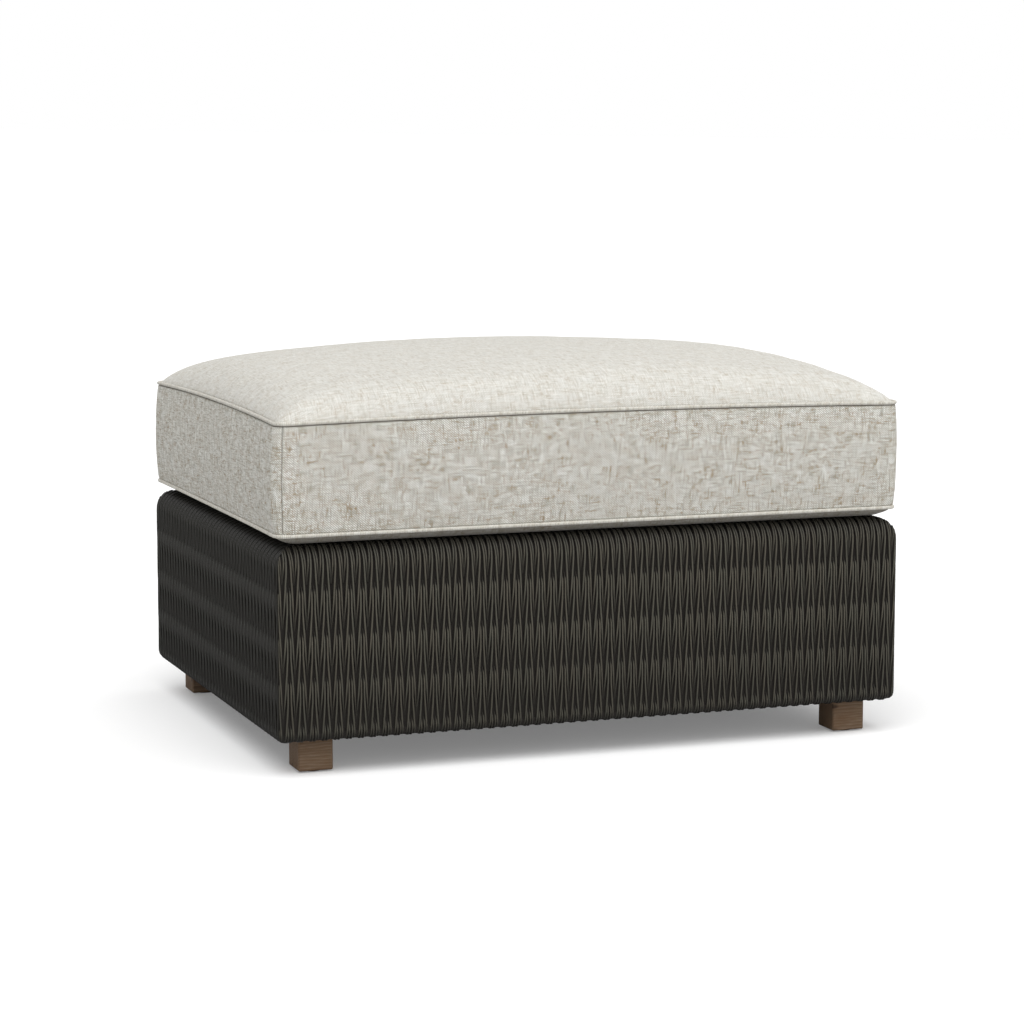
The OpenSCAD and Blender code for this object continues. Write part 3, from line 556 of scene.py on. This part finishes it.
both = out(twist, "SetPosition", {"Geometry": both, "Offset": offset})
ended(output, swept(both, circle(twist, size["Cane radius"])), flat_cane)


def joined(name, target, *others):
    """Puts the meshes of other objects into the first, names it and takes the others away."""
    bm = bmesh.new()
    for part in (target, *others):
        bm.from_mesh(part.data)
    bm.to_mesh(target.data)
    bm.free()
    for part in others:
        bpy.data.objects.remove(part)
    target.name = name
    return target


ways = [grown("deck_way", bpy.data.meshes.new("deck"), plain_weave, {
    "Strips": strips, "Crossings": crossings, "Pitch": strip_pitch, "Strip width": strip_w, "Strip thickness": strip_t,
    "Wave": strip_wave, "Over first": over})
    for strips, crossings, over in ((strips_across, strips_along, 0.0), (strips_along, strips_across, 1.0))]
ways[1].data.transform(Matrix.Rotation(math.pi / 2, 4, "Z"))
for strips in ways:
    strips.data.transform(Matrix.Translation((0, 0, deck_level)))

rim_r, rim_corner_r = 0.0024, 0.006
half = [deck_high.x - rim_r - rim_corner_r, deck_high.y - rim_r - rim_corner_r]
loop = []
for c, s in ((1, 0), (0, 1), (-1, 0), (0, -1)):
    for a in np.linspace(0, math.pi / 2, 7):
        dx, dy = c * math.cos(a) - s * math.sin(a), s * math.cos(a) + c * math.sin(a)
        loop.append((np.sign(c - s) * half[0] + rim_corner_r * dx, np.sign(c + s) * half[1] + rim_corner_r * dy,
                     deck_high.z - rim_r))
mesh = bpy.data.meshes.new("deck_rim")
mesh.from_pydata(loop, [(i, (i + 1) % len(loop)) for i in range(len(loop))], [])
rim = grown("deck_rim", mesh, twist, {"Canes": 2, "Turn length": 0.0100, "Cane radius": cane_r, "Spread": 0.00115})
deck = joined("deck", *ways, rim)
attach(deck, "base")
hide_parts("woven_deck")


# ---- Filling
# A block of foam with a crowned top lies between two quilted sheets of polyester fibre. All three follow the seams
# of the cover: a rectangle with rounded corners whose sides draw in and whose upper seam bows up in the middle.

cushion_w, cushion_d, cushion_r = 0.809, 0.608, 0.014
side_draw, seam_bow, crown_h, boxing_swell = 0.0015, 0.0042, 0.066, 0.004
low_seam_z, top_seam_z, cushion_z0 = 0.289, 0.4215, 0.2763
welt_r, cover_t, soft_gap, crown_gap, fibre_t = 0.0023, 0.0015, 0.0003, 0.0012, 0.012
welt_room, lean_foot, lean_top = 0.00245, 0.0007, 0.0011
rim_dip, dip_at, dip_width = 0.0013, 0.957, 0.016


def turned(vectors, quarters):
    """Plan vectors turned by quarter turns to the left."""
    for _ in range(quarters):
        vectors = np.stack([-vectors[:, 1], vectors[:, 0]], 1)
    return vectors


def seam_side(k, places):
    """Side k of the seam, front first, at places from 0 to 1 between two corners: points, outward directions, and
    the place along the straight from -1 to 1."""
    half_l, half_m = (cushion_w / 2, cushion_d / 2) if k % 2 == 0 else (cushion_d / 2, cushion_w / 2)
    t = np.concatenate([np.full(12, -1.0), np.linspace(-1, 1, 201), np.full(12, 1.0)])
    angle = np.radians(np.concatenate([
        np.linspace(-135, -90, 12, endpoint=False), np.full(201, -90.0), np.linspace(-90, -45, 13)[1:]]))
    out = np.stack([np.cos(angle), np.sin(angle)], 1)
    line = np.stack([(half_l - cushion_r) * t, np.full(len(t), cushion_r - half_m)], 1) + cushion_r * out
    line -= out * (side_draw * (1 - t ** 4))[:, None]
    run = np.concatenate([[0], np.cumsum(np.linalg.norm(np.diff(line, axis=0), axis=1))])
    at = np.asarray(places) * run[-1]
    picked = np.stack([np.interp(at, run, v) for v in (*line.T, *out.T, t)], 1)
    line, out = turned(picked[:, :2], k), turned(picked[:, 2:4], k)
    return line, out / np.linalg.norm(out, axis=1)[:, None], picked[:, 4]


def graded(n, edge=0.7):
    """n places from 0 to 1, closer together towards both ends."""
    u = np.linspace(0, 1, n)
    return (1 - edge) * u + edge * (0.5 - 0.5 * np.cos(math.pi * u))


def panel_plan(across, deep, inward):
    """A grid of plan points that fills the seam moved inward: shape (across, deep, 2)."""
    u, v = graded(across), graded(deep)
    edges = [seam_side(k, (u, v, u, v)[k]) for k in range(4)]
    front_e, right_e, back_e, left_e = [line - inward * out for line, out, t in edges]
    back_e, left_e = back_e[::-1], left_e[::-1]
    U, V = u[:, None, None], v[None, :, None]
    plan = (1 - V) * front_e[:, None] + V * back_e[:, None] + (1 - U) * left_e[None] + U * right_e[None]
    for a, b, p in ((1 - U, 1 - V, front_e[0]), (U, 1 - V, front_e[-1]), (1 - U, V, back_e[0]), (U, V, back_e[-1])):
        plan -= a * b * p
    return plan


seam_line = []
for k in range(4):
    line, outward, t = seam_side(k, np.linspace(0, 1, 400, endpoint=False))
    seam_line.append(np.concatenate([line - welt_room * outward, (1 - t * t)[:, None]], 1))
seam_line = np.concatenate(seam_line)
seam_angle = np.arctan2(seam_line[:, 1], seam_line[:, 0])
order = np.argsort(seam_angle)
seam_angle, seam_line = seam_angle[order], seam_line[order]


def rim_share(plan):
    """How far plan points lie on the way from the middle to the seam, the seam point beyond them and its bow."""
    angle = np.arctan2(plan[..., 1], plan[..., 0])
    x, y, bow = (np.interp(angle, seam_angle, seam_line[:, i], period=2 * math.pi) for i in range(3))
    return np.minimum(np.hypot(plan[..., 0], plan[..., 1]) / np.hypot(x, y), 1), x, y, seam_bow * bow


def crown(x, y):
    u, v = np.abs(x * 2 / cushion_w), np.abs(y * 2 / cushion_d)
    return np.maximum(0, 1 - u ** 1.78) ** 0.295 * np.maximum(0, 1 - v ** 1.92) ** 0.262


def crowned(plan):
    """Top surface of the cover over plan points, and the height of its seams there."""
    s, x, y, bow = rim_share(plan)
    base = top_seam_z + bow * s * s
    rise = crown(plan[..., 0], plan[..., 1]) - s ** 18 * crown(x, y)
    for _ in range(8):
        around = rise[:-2, 1:-1] + rise[2:, 1:-1] + rise[1:-1, :-2] + rise[1:-1, 2:]
        rise[1:-1, 1:-1] = 0.5 * rise[1:-1, 1:-1] + 0.125 * around
    return np.concatenate([plan, (base + crown_h * rise)[..., None]], -1), base


def underside(plan, lift=0.0):
    """Lower surface of the cover: flat where it lies on the deck, drawn up to the seam at its rim."""
    s = rim_share(plan)[0]
    drop = (low_seam_z - cushion_z0) * (1 - s ** 20) ** 0.5
    z = low_seam_z - drop - rim_dip * np.exp(-((s - dip_at) / dip_width) ** 2) + lift
    return np.concatenate([plan, z[..., None]], -1)


def grid_normals(grid):
    normal = np.cross(np.gradient(grid, axis=0), np.gradient(grid, axis=1))
    return normal / np.maximum(np.linalg.norm(normal, axis=-1), 1e-12)[..., None]


def grid_faces(a, b, start=0):
    i, j = np.meshgrid(np.arange(a - 1), np.arange(b - 1), indexing="ij")
    first = start + i * b + j
    return np.stack([first, first + b, first + b + 1, first + 1], -1).reshape(-1, 4)


def rim_of(a, b):
    """Indices round the edge of a grid, front side first."""
    return np.concatenate([np.arange(a - 1) * b, (a - 1) * b + np.arange(b - 1),
                           np.arange(a - 1, 0, -1) * b + b - 1, np.arange(b - 1, 0, -1)])


def cloth_lengths(grid):
    """Lengths of cloth along both ways of a grid, from its middle: a pair for each point."""
    pairs = []
    for axis in (0, 1):
        step = np.linalg.norm(np.diff(grid, axis=axis), axis=-1)
        run = np.concatenate([np.zeros_like(np.take(step, [0], axis)), np.cumsum(step, axis)], axis)
        pairs.append(run - np.take(run, [grid.shape[axis] // 2], axis))
    return np.stack(pairs, -1).reshape(-1, 2)


def smooth_mesh(name, points, faces, lengths, material):
    """A soft piece, with its lengths of cloth as a UV map. The cushion leans a little to the right towards its top."""
    mesh = bpy.data.meshes.new(name)
    lean = lean_foot + lean_top * np.clip((points[:, 2] - 0.35) / 0.07, 0, 1)
    mesh.from_pydata((points + lean[:, None] * (1, 0, 0)).tolist(), [], faces.tolist())
    mesh.shade_smooth()
    loops = np.zeros(len(mesh.loops), np.int32)
    mesh.loops.foreach_get("vertex_index", loops)
    mesh.uv_layers.new(name="cloth").data.foreach_set("uv", lengths[loops].astype(np.float32).ravel())
    mesh.materials.append(material)
    return added(name, mesh)


def closed(name, outer, inner, material, lengths=None, flipped=False):
    """A closed piece between two grids. The faces of an outer grid that runs the other way are flipped."""
    a, b = outer.shape[:2]
    n, rim = a * b, rim_of(a, b)
    nxt = np.roll(rim, -1)
    faces = np.concatenate([grid_faces(a, b), grid_faces(a, b, n)[:, ::-1], np.stack([rim + n, nxt + n, nxt, rim], -1)])
    lengths = (cloth_lengths(outer), cloth_lengths(inner)) if lengths is None else (lengths, lengths)
    return smooth_mesh(name, np.concatenate([outer.reshape(-1, 3), inner.reshape(-1, 3)]),
                       faces[:, ::-1] if flipped else faces, np.concatenate(lengths), material)


foam, tree = finish("foam", 0.95, Specular_IOR_Level=0.1)
place = placed(tree)
cells = out(tree, "TexVoronoi", {"Vector": place, "Scale": 900}, "Distance")
dressed(tree, blended(noise(place, 30, 3), srgb(214, 202, 160), srgb(226, 216, 180)), cells, 0.7, 0.0006)
wadding, tree = finish("wadding", 0.98, Specular_IOR_Level=0.05, Sheen_Weight=0.3)
hairs = noise(placed(tree, 1, 1, 3), 420, 5, 0.7)
dressed(tree, tinted(srgb(222, 222, 219), (hairs, 0.3, 0.7, 1, (242, 242, 240))), hairs, 0.8, 0.0015)


def drawn_in(grid, room):
    return grid * (1 - 2 * room / cushion_w, 1 - 2 * room / cushion_d, 1)


def levelled(grid, z):
    return np.concatenate([grid[..., :2], np.broadcast_to(z, grid.shape[:2])[..., None]], -1)


plan = panel_plan(141, 107, welt_room)
top_grid, base = crowned(plan)
under_cover = drawn_in(top_grid - (cover_t + soft_gap) * grid_normals(top_grid), 2 * crown_gap) - (0, 0, 2 * crown_gap)
under_fibre = levelled(under_cover, base - 0.003 + 0.7 * (under_cover[..., 2] - base))
foam_top = drawn_in(under_fibre, 0.006) - (0, 0, 0.0006)
foam_z0 = cushion_z0 + cover_t + soft_gap + fibre_t + soft_gap
fibre_low = underside(0.9 * plan, cover_t + 2 * soft_gap)
for name, upper, lower, material, node, slot in (
        ("foam_block", foam_top, levelled(foam_top, foam_z0), foam, "foam_core", "foam"),
        ("wadding_top", under_cover, under_fibre, wadding, "fibre_top", "fibre"),
        ("wadding_bottom", levelled(fibre_low, foam_z0 - soft_gap), fibre_low, wadding, "fibre_bottom", "fibre")):
    piece = closed(name, upper, lower, material)
    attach(piece, "cushion")
    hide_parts(node)


# ---- Cushion cover
# A box cushion sewn from an outdoor linen-look weave, with slubs and stray brown yarns. The filling pushes the top
# panel up between its seams and swells the boxing. The boxing is joined at the four corners.

twill_across, twill_up = 0.00324, 0.00272


def linen_cloth(name, bias=0.0, contrast=1.0, depth=0.0003, light=(253, 254, 250)):
    """Linen-look cloth, its threads along the cloth map or turned by bias. Cloth pulled flat has less contrast."""
    material, tree = finish(name, 0.88, Specular_IOR_Level=0.2, Sheen_Weight=0.08, Sheen_Roughness=0.6)
    cloth = out(tree, "UVMap", uv_map="cloth")
    if bias:
        cloth = out(tree, "Mapping", {"Vector": cloth, "Rotation": (0, 0, bias)})
    thread = lambda across, along, detail=2.0: [
        noise(placed(tree, *ways, 1, cloth), 1.0, detail) for ways in ((across, along), (along, across))]
    u, v, w = parts(cloth)
    angle = u * (2 * math.pi / twill_across) + v * (2 * math.pi / twill_up)
    twill = spread(angle.calc("SINE"), -1, 1)
    fine, fine_across = thread(580, 62)
    fleck, fleck_across = thread(640, 120)
    patch, patch_across = thread(150, 45)
    wide = noise(placed(tree, 30, 45, 1, cloth), 1.0, 3)
    blush = noise(placed(tree, 60, 85, 1, cloth), 1.0, 3)
    patch = spread(patch.calc("MAXIMUM", patch_across), 0.45, 0.72)
    knot = patch * spread(fleck.calc("MAXIMUM", fleck_across), 0.50, 0.60)
    shade = out(tree, "Attribute", (), "Fac", attribute_name="shade")
    tone = tinted(
        srgb(*light), (wide, 0.3, 0.7, 0.3 * contrast, (238, 234, 219)),
        *[(yarn, 0.48, 0.75, 0.3 * contrast, (186, 180, 164)) for yarn in thread(320, 36, 1.0)],
        *[(yarn, 0.50, 0.70, 0.8 * contrast, (146, 141, 124)) for yarn in (fine, fine_across)],
        (knot, 0, 1, contrast, (140, 108, 50)), (blush, 0.56, 0.76, 0.25 * contrast, (214, 194, 176)),
        *[(yarn, 0.58, 0.74, 0.15 + 0.35 * contrast, (254, 254, 251)) for yarn in thread(500, 45, 1.0)],
        (twill, 0, 1, 0.85 * contrast, (140, 137, 127)), (shade, 0, 1, 1, (88, 82, 71)))
    dressed(tree, tone, twill * -0.5 + (fine + fine_across), 1.0, depth)
    return material


linen = linen_cloth("linen")
# The top panel's copy of the cloth has a darker tone than the boxing's: painted shade that evens out the stronger light
# falling on the top.
top_linen = linen_cloth("top_linen", contrast=0.4, depth=0.0002, light=(216, 215, 210))
bias_linen = linen_cloth("bias_linen", math.radians(45), contrast=0.45, depth=0.0005, light=(220, 218, 210))

near_seam = np.array([0, 0.0005, 0.001, 0.0016, 0.0024, 0.0034])
boxing_h, seam_inset, corner_groove, join_shift = 0.1325, 0.0014, 0.0016, 0.0042
seam_tuck, tuck_reach, groove_reach = 0.0022, 0.0012, 0.0009


def seamed(n, length):
    """Places from 0 to 1 along a panel that long, with fine steps beside the seam at both ends."""
    inner = near_seam[-1] / length + (1 - 2 * near_seam[-1] / length) * graded(n, 0.5)
    return np.concatenate([near_seam[:-1] / length, inner, 1 - near_seam[-2::-1] / length])


side_lengths = (cushion_w, cushion_d, cushion_w, cushion_d)
places = [seamed(n, length) for n, length in zip((131, 97, 131, 97), side_lengths)]


def boxing_line(k, places):
    """Side k of the seam as the boxing's panels run: each begins join_shift past its corner."""
    run, next_run = [side_lengths[i % 4] - 2 * cushion_r + cushion_r * math.pi / 2 for i in (k, k + 1)]
    at = np.asarray(places) + join_shift / run
    here, beyond = seam_side(k, np.minimum(at, 1)), seam_side((k + 1) % 4, np.maximum(at - 1, 0) * run / next_run)
    return [np.where((at > 1).reshape((-1,) + (1,) * (a.ndim - 1)), b, a) for a, b in zip(here, beyond)]


def off_seam(line, out, offset, z):
    """A grid along a line of the seam, moved outward by an offset, at these heights."""
    return np.concatenate([line[:, None] + out[:, None] * offset[..., None], z[..., None]], -1)


def swollen(w):
    """How far the boxing stands out where its height is a share w."""
    return boxing_swell * (4 * w * (1 - w)) ** 0.7 + cover_t / 2


def boxing_grid(k):
    """Outer face of side k of the boxing: shape (columns, rows, 3), from the lower welt to the upper."""
    line, out, t = boxing_line(k, places[k])
    w = seamed(17, top_seam_z - low_seam_z)
    z0, z1 = low_seam_z + seam_inset, top_seam_z + seam_bow * (1 - t * t) - seam_inset
    tuck = seam_tuck * np.exp(-np.minimum(w, 1 - w) * boxing_h / tuck_reach)
    groove = corner_groove * np.exp(-np.minimum(places[k], 1 - places[k]) * side_lengths[k] / groove_reach)
    offset = swollen(w)[None] - np.maximum(tuck[None], groove[:, None])
    return off_seam(line, out, offset, z0 + (z1 - z0)[:, None] * w)


def settled(grid):
    """Where a panel's points come to rest when its cloth, a little too large and held at the seams, is blown up."""
    a, b = grid.shape[:2]
    mesh = bpy.data.meshes.new("settling")
    mesh.from_pydata(grid.reshape(-1, 3).tolist(), [], grid_faces(a, b).tolist())
    cloth = added("settling", mesh)
    cloth.vertex_groups.new(name="held").add(rim_of(a, b).tolist(), 1.0, "REPLACE")
    modifier = cloth.modifiers.new("settling", "CLOTH")
    for name, value in {"mass": 0.3, "tension_stiffness": 15, "compression_stiffness": 15, "shear_stiffness": 5,
                        "bending_stiffness": 0.5, "use_pressure": True, "uniform_pressure_force": 4,
                        "shrink_min": -0.01, "vertex_group_mass": "held"}.items():
        setattr(modifier.settings, name, value)
    modifier.settings.effector_weights.gravity = 0
    modifier.point_cache.frame_end = 20
    for moment in range(1, 21):
        scene.frame_set(moment)
    points = np.empty(3 * a * b)
    cloth.evaluated_get(bpy.context.evaluated_depsgraph_get()).to_mesh().vertices.foreach_get("co", points)
    scene.frame_set(1)
    bpy.data.objects.remove(cloth)
    bpy.data.meshes.remove(mesh)
    return points.reshape(a, b, 3)


def evened(values, rounds):
    for _ in range(rounds):
        v = np.pad(values, 1, mode="edge")
        values = 0.5 * values + 0.125 * (v[2:, 1:-1] + v[:-2, 1:-1] + v[1:-1, 2:] + v[1:-1, :-2])
    return values


def wrinkled(grid, share=0.25, most=0.001):
    """The panel with some of the wrinkles of its settled cloth. Its broad form stays."""
    out = grid_normals(grid)
    moved = evened(((settled(grid) - grid) * out).sum(-1), 3)
    fade = [np.minimum(1, np.minimum(np.arange(n), np.arange(n)[::-1]) / 8) for n in grid.shape[:2]]
    wrinkles = np.clip(share * (moved - evened(moved, 40)), -most, most) * fade[0][:, None] * fade[1]
    return grid + out * wrinkles[..., None]


def creases(k, grid):
    """How deep in the shade of a seam the points of a boxing grid lie, from 0 to 1."""
    join = np.minimum(places[k], 1 - places[k]) * side_lengths[k]
    line = lambda way, full, none: np.clip((none - way) / (none - full), 0, 1)
    under_welt = line(grid[:, -1:, 2] - grid[..., 2], 0.0013, 0.0027)
    over_welt = line(grid[..., 2] - grid[:, :1, 2], 0.0010, 0.0020)
    return np.maximum(under_welt, np.maximum(0.35 * over_welt, 0.25 * line(join, 0.0003, 0.0010)[:, None]))


def fabric(name, grid, flipped=False, thick=cover_t, aside=0.0, shade=0.0, material=linen):
    """One panel of the cover from a grid of its outer face, with the cloth's thickness behind it."""
    inner = grid - thick * grid_normals(grid) * (-1 if flipped else 1)
    piece = closed(name, grid, inner, material, cloth_lengths(grid) + (0, aside), flipped)
    shades = np.tile(np.broadcast_to(shade, grid.shape[:2]).ravel(), 2).astype(np.float32)
    piece.data.attributes.new("shade", "FLOAT", "POINT").data.foreach_set("value", shades)
    return piece


top_grid = wrinkled(top_grid)
panels = {"top_panel": fabric("cover_top", top_grid, material=top_linen),
          "bottom_panel": fabric("cover_bottom", underside(plan), True, shade=0.68)}
for k, side in ((0, "front"), (1, "right"), (3, "left")):
    grid = wrinkled(boxing_grid(k), 0.2, 0.0007)
    panels[f"boxing_{side}"] = fabric(f"cover_{side}", grid, shade=creases(k, grid))

# The back of the boxing is in two halves, folded in at the zip. Where the zip lies they stand apart.
zip_low, zip_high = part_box("zip_tapes")
zip_z, zip_half = (zip_low.z + zip_high.z) / 2, zip_high.x
gap_half, fold_t, hem_w, half_t = 0.0065, 0.0019, 0.019, 0.0009
back_tuck, edge_sink, sink_reach, past_zip, opens_over = 0.0016, 0.0008, 0.004, 0.0008, 0.006
line, outward, t = boxing_line(2, graded(201, 0.3))
seam_z = top_seam_z + seam_bow * (1 - t * t)
apart = np.clip((zip_half + past_zip - np.abs(line[:, 0])) / opens_over, 0, 1)
for half, up in (("upper", 1), ("lower", -1)):
    z_seam = seam_z - seam_inset if up > 0 else np.full(len(t), low_seam_z + seam_inset)
    z_edge = zip_z + up * (0.0002 + gap_half * apart * apart * (3 - 2 * apart))
    face_z = z_seam[:, None] + (z_edge - z_seam)[:, None] * graded(15, 0.5)
    w = np.clip((face_z - low_seam_z - seam_inset) / (seam_z - low_seam_z - 2 * seam_inset)[:, None], 0, 1)
    tuck = back_tuck * np.exp(-np.minimum(w, 1 - w) * boxing_h / back_tuck)
    face_y = swollen(w) - tuck - edge_sink * np.exp(-np.abs(face_z - z_edge[:, None]) / sink_reach)
    fold = np.linspace(0, math.pi, 6)[1:]
    fold_y = face_y[:, -1:] - fold_t / 2 * (1 - np.cos(fold))
    fold_z = z_edge[:, None] - up * fold_t / 2 * np.sin(fold)
    hem_y = np.repeat(fold_y[:, -1:], 3, 1)
    hem_z = z_edge[:, None] + up * np.linspace(0, 1, 4)[1:] * hem_w
    y, z = [np.concatenate(three, 1) for three in ((face_y, fold_y, hem_y), (face_z, fold_z, hem_z))]
    grid = off_seam(line, outward, y, z)
    panels[f"boxing_back_{half}"] = fabric(f"cover_back_{half}", grid, up > 0, half_t, 0.2 - 0.2 * up)
for node, piece in panels.items():
    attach(piece, "cushion")
    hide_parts(node)


# ---- Welts
# Cord in bias-cut strips of the same cloth, sewn into both seams of the cover all the way round.

def welt(name, node, level, bow):
    """A round cord along the seam. Its cloth is cut on the bias, so it ripples a little where it turns."""
    corners, spots = 12, 240
    sides = [seam_side(k, np.linspace(0, 1, spots, endpoint=False)) for k in range(4)]
    line, out, t = [np.concatenate(part) for part in zip(*sides)]
    run = np.concatenate([[0], np.cumsum(np.linalg.norm(np.diff(line, axis=0), axis=1))])
    total = run[-1] + np.linalg.norm(line[0] - line[-1])
    wave = lambda length, shift: np.sin(2 * math.pi * run / total * round(total / length) + shift)
    r = (welt_r * (1 + 0.022 * wave(0.031, 0.4) + 0.018 * wave(0.0127, 1.9)))[:, None]
    angle = -2 * math.pi * np.arange(corners) / corners
    height = (level + bow * (1 - t * t))[:, None] + r * np.sin(angle)
    points = off_seam(line, out, r * np.cos(angle) + 0.0005, height)
    n, m = len(run), corners
    i, j = np.meshgrid(np.arange(n), np.arange(m), indexing="ij")
    nxt, up = (i + 1) % n * m, (j + 1) % m
    quads = np.stack([i * m + j, i * m + up, nxt + up, nxt + j], -1).reshape(-1, 4)
    round_cord = welt_r * np.abs(np.arange(m) - m / 2) * 2 * math.pi / m
    lengths = np.stack(np.broadcast_arrays(np.minimum(run, total - run)[:, None], round_cord[None]), -1).reshape(-1, 2)
    piece = smooth_mesh(name, points.reshape(-1, 3), quads, lengths, bias_linen)
    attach(piece, "cushion")
    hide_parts(node)


welt("piping_top", "top_welt", top_seam_z, seam_bow)
welt("piping_bottom", "bottom_welt", low_seam_z, 0)


# ---- Zip
# A coil zip with grey polyester tapes, sewn behind the folded edges of the back boxing. The coils are moulded nylon.
# The slider, its pull and the stops are nickel-plated. Two rows of lock stitch hold the tapes to the folded edges.

tape_cloth, tree = finish("tape_cloth", 0.85, Specular_IOR_Level=0.2)
wave = {"Vector": out(tree, "UVMap", uv_map="cloth"), "Scale": 330, "Distortion": 0.4}
rib = out(tree, "TexWave", wave, "Fac", bands_direction="DIAGONAL")
dressed(tree, blended(rib, srgb(140, 137, 129), srgb(170, 167, 158)), rib, 0.6, 0.0002)
nylon, tree = finish("nylon", 0.38, Specular_IOR_Level=0.5)
place = placed(tree)
dressed(tree, blended(noise(place, 400, 2), srgb(160, 157, 149), srgb(184, 181, 172)),
        noise(place, 1500, 2), 0.2, 0.0001)
nickel, tree = finish("nickel", 0.24, Metallic=1.0)
place = placed(tree)
dressed(tree, blended(noise(place, 500, 3), (0.50, 0.49, 0.47, 1), (0.66, 0.65, 0.62, 1)),
        noise(placed(tree, 8, 1, 1), 700, 2), 0.15, 0.0001, spread(noise(place, 900, 3), 0.3, 0.7, 0.18, 0.36))
finished(nickel, "zip_stops", "zip_slider", "zip_pull")
thread, tree = finish("thread", 0.6, Specular_IOR_Level=0.4)
lay = out(tree, "TexWave", {"Vector": placed(tree), "Scale": 900}, "Fac", bands_direction="DIAGONAL")
dressed(tree, blended(noise(placed(tree, 3, 1, 1), 1200, 2), srgb(196, 191, 180), srgb(226, 223, 214)),
        lay, 0.5, 0.0001)

tape_t, coil_row, stitch_row = 0.0006, 0.0016, 0.0125
tapes = []
for s in (-1, 1):
    x = np.linspace(-zip_half, zip_half, 233)[:, None]
    y = zip_high.y - 0.0001 - 0.00012 * (1 + np.sin(x * 190)) * np.linspace(0, 1, 9)
    z = zip_z + s * np.linspace(0.0005, zip_high.z - zip_z, 9)
    grid = np.stack(np.broadcast_arrays(x, y, z), -1)
    tapes.append(closed("tape", grid, grid - (0, tape_t, 0), tape_cloth, cloth_lengths(grid), s > 0))
tape = joined("zip_tape", *tapes)
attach(tape, "cushion")
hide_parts("zip_tapes")

coil, size, output = tree_with("coil", ("Turns",), ("Length", "Height", "Width", "Wire radius"))
line = out(coil, "CurvePrimitiveLine", {"End": out(coil, "CombineXYZ", (size["Length"],))})
line = out(coil, "ResampleCurve", {"Curve": line, "Count": size["Turns"] * 9 + 1})
turn = out(coil, "SplineParameter", (), "Factor") * size["Turns"] * (2 * math.pi)
bend = (size["Length"] * -0.5, turn.calc("COSINE") * size["Height"], turn.calc("SINE") * size["Width"])
line = out(coil, "SetPosition", {"Geometry": line, "Offset": out(coil, "CombineXYZ", bend)})
ended(output, swept(line, circle(coil, size["Wire radius"], 5)), nylon)
coil_low, coil_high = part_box("zip_coils")
coils = []
for s in (-1, 1):
    made = grown("coil", bpy.data.meshes.new("coil"), coil, {
        "Turns": 430, "Length": 2 * coil_high.x - 0.0006, "Height": 0.00052, "Width": 0.00082, "Wire radius": 0.00027})
    made.data.transform(Matrix.Translation((0, coil_low.y + 0.0008, zip_z + s * coil_row)))
    coils.append(made)
zip_coil = joined("zip_coil", *coils)
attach(zip_coil, "cushion")
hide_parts("zip_coils")

stitching, size, output = tree_with("stitching", (), ("Stitch", "Gap", "Thread radius"))
row = out(stitching, "MeshToCurve", (size["Geometry"],))
spots = out(stitching, "CurveToPoints", {"Curve": row, "Length": size["Stitch"] + size["Gap"]}, mode="LENGTH")
ends = {end: out(stitching, "CombineXYZ", (size["Stitch"] * share,)) for end, share in (("Start", -0.5), ("End", 0.5))}
bar = out(stitching, "ResampleCurve", {"Curve": out(stitching, "CurvePrimitiveLine", ends), "Count": 5})
arch = (out(stitching, "SplineParameter", (), "Factor") * math.pi).calc("SINE") * size["Thread radius"]
bar = out(stitching, "SetPosition", {"Geometry": bar, "Offset": out(stitching, "CombineXYZ", {1: arch})})
bar = swept(bar, circle(stitching, size["Thread radius"]))
ended(output, out(stitching, "InstanceOnPoints", {"Points": spots, "Instance": bar}), thread)
x = np.linspace(-zip_half - 0.004, zip_half + 0.004, 80)
y = cushion_d / 2 - side_draw * (1 - (x / (cushion_w / 2 - cushion_r)) ** 4) + boxing_swell + cover_t / 2 - 0.0003
stitch_rows = []
for s in (-1, 1):
    mesh = bpy.data.meshes.new("row")
    mesh.from_pydata([(a, b, zip_z + s * stitch_row) for a, b in zip(x, y)], [(i, i + 1) for i in range(79)], [])
    stitch_rows.append(grown("row", mesh, stitching, {"Stitch": 0.0030, "Gap": 0.0010, "Thread radius": 0.0003}))
stitches = joined("zip_stitches", *stitch_rows)
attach(stitches, "cushion")
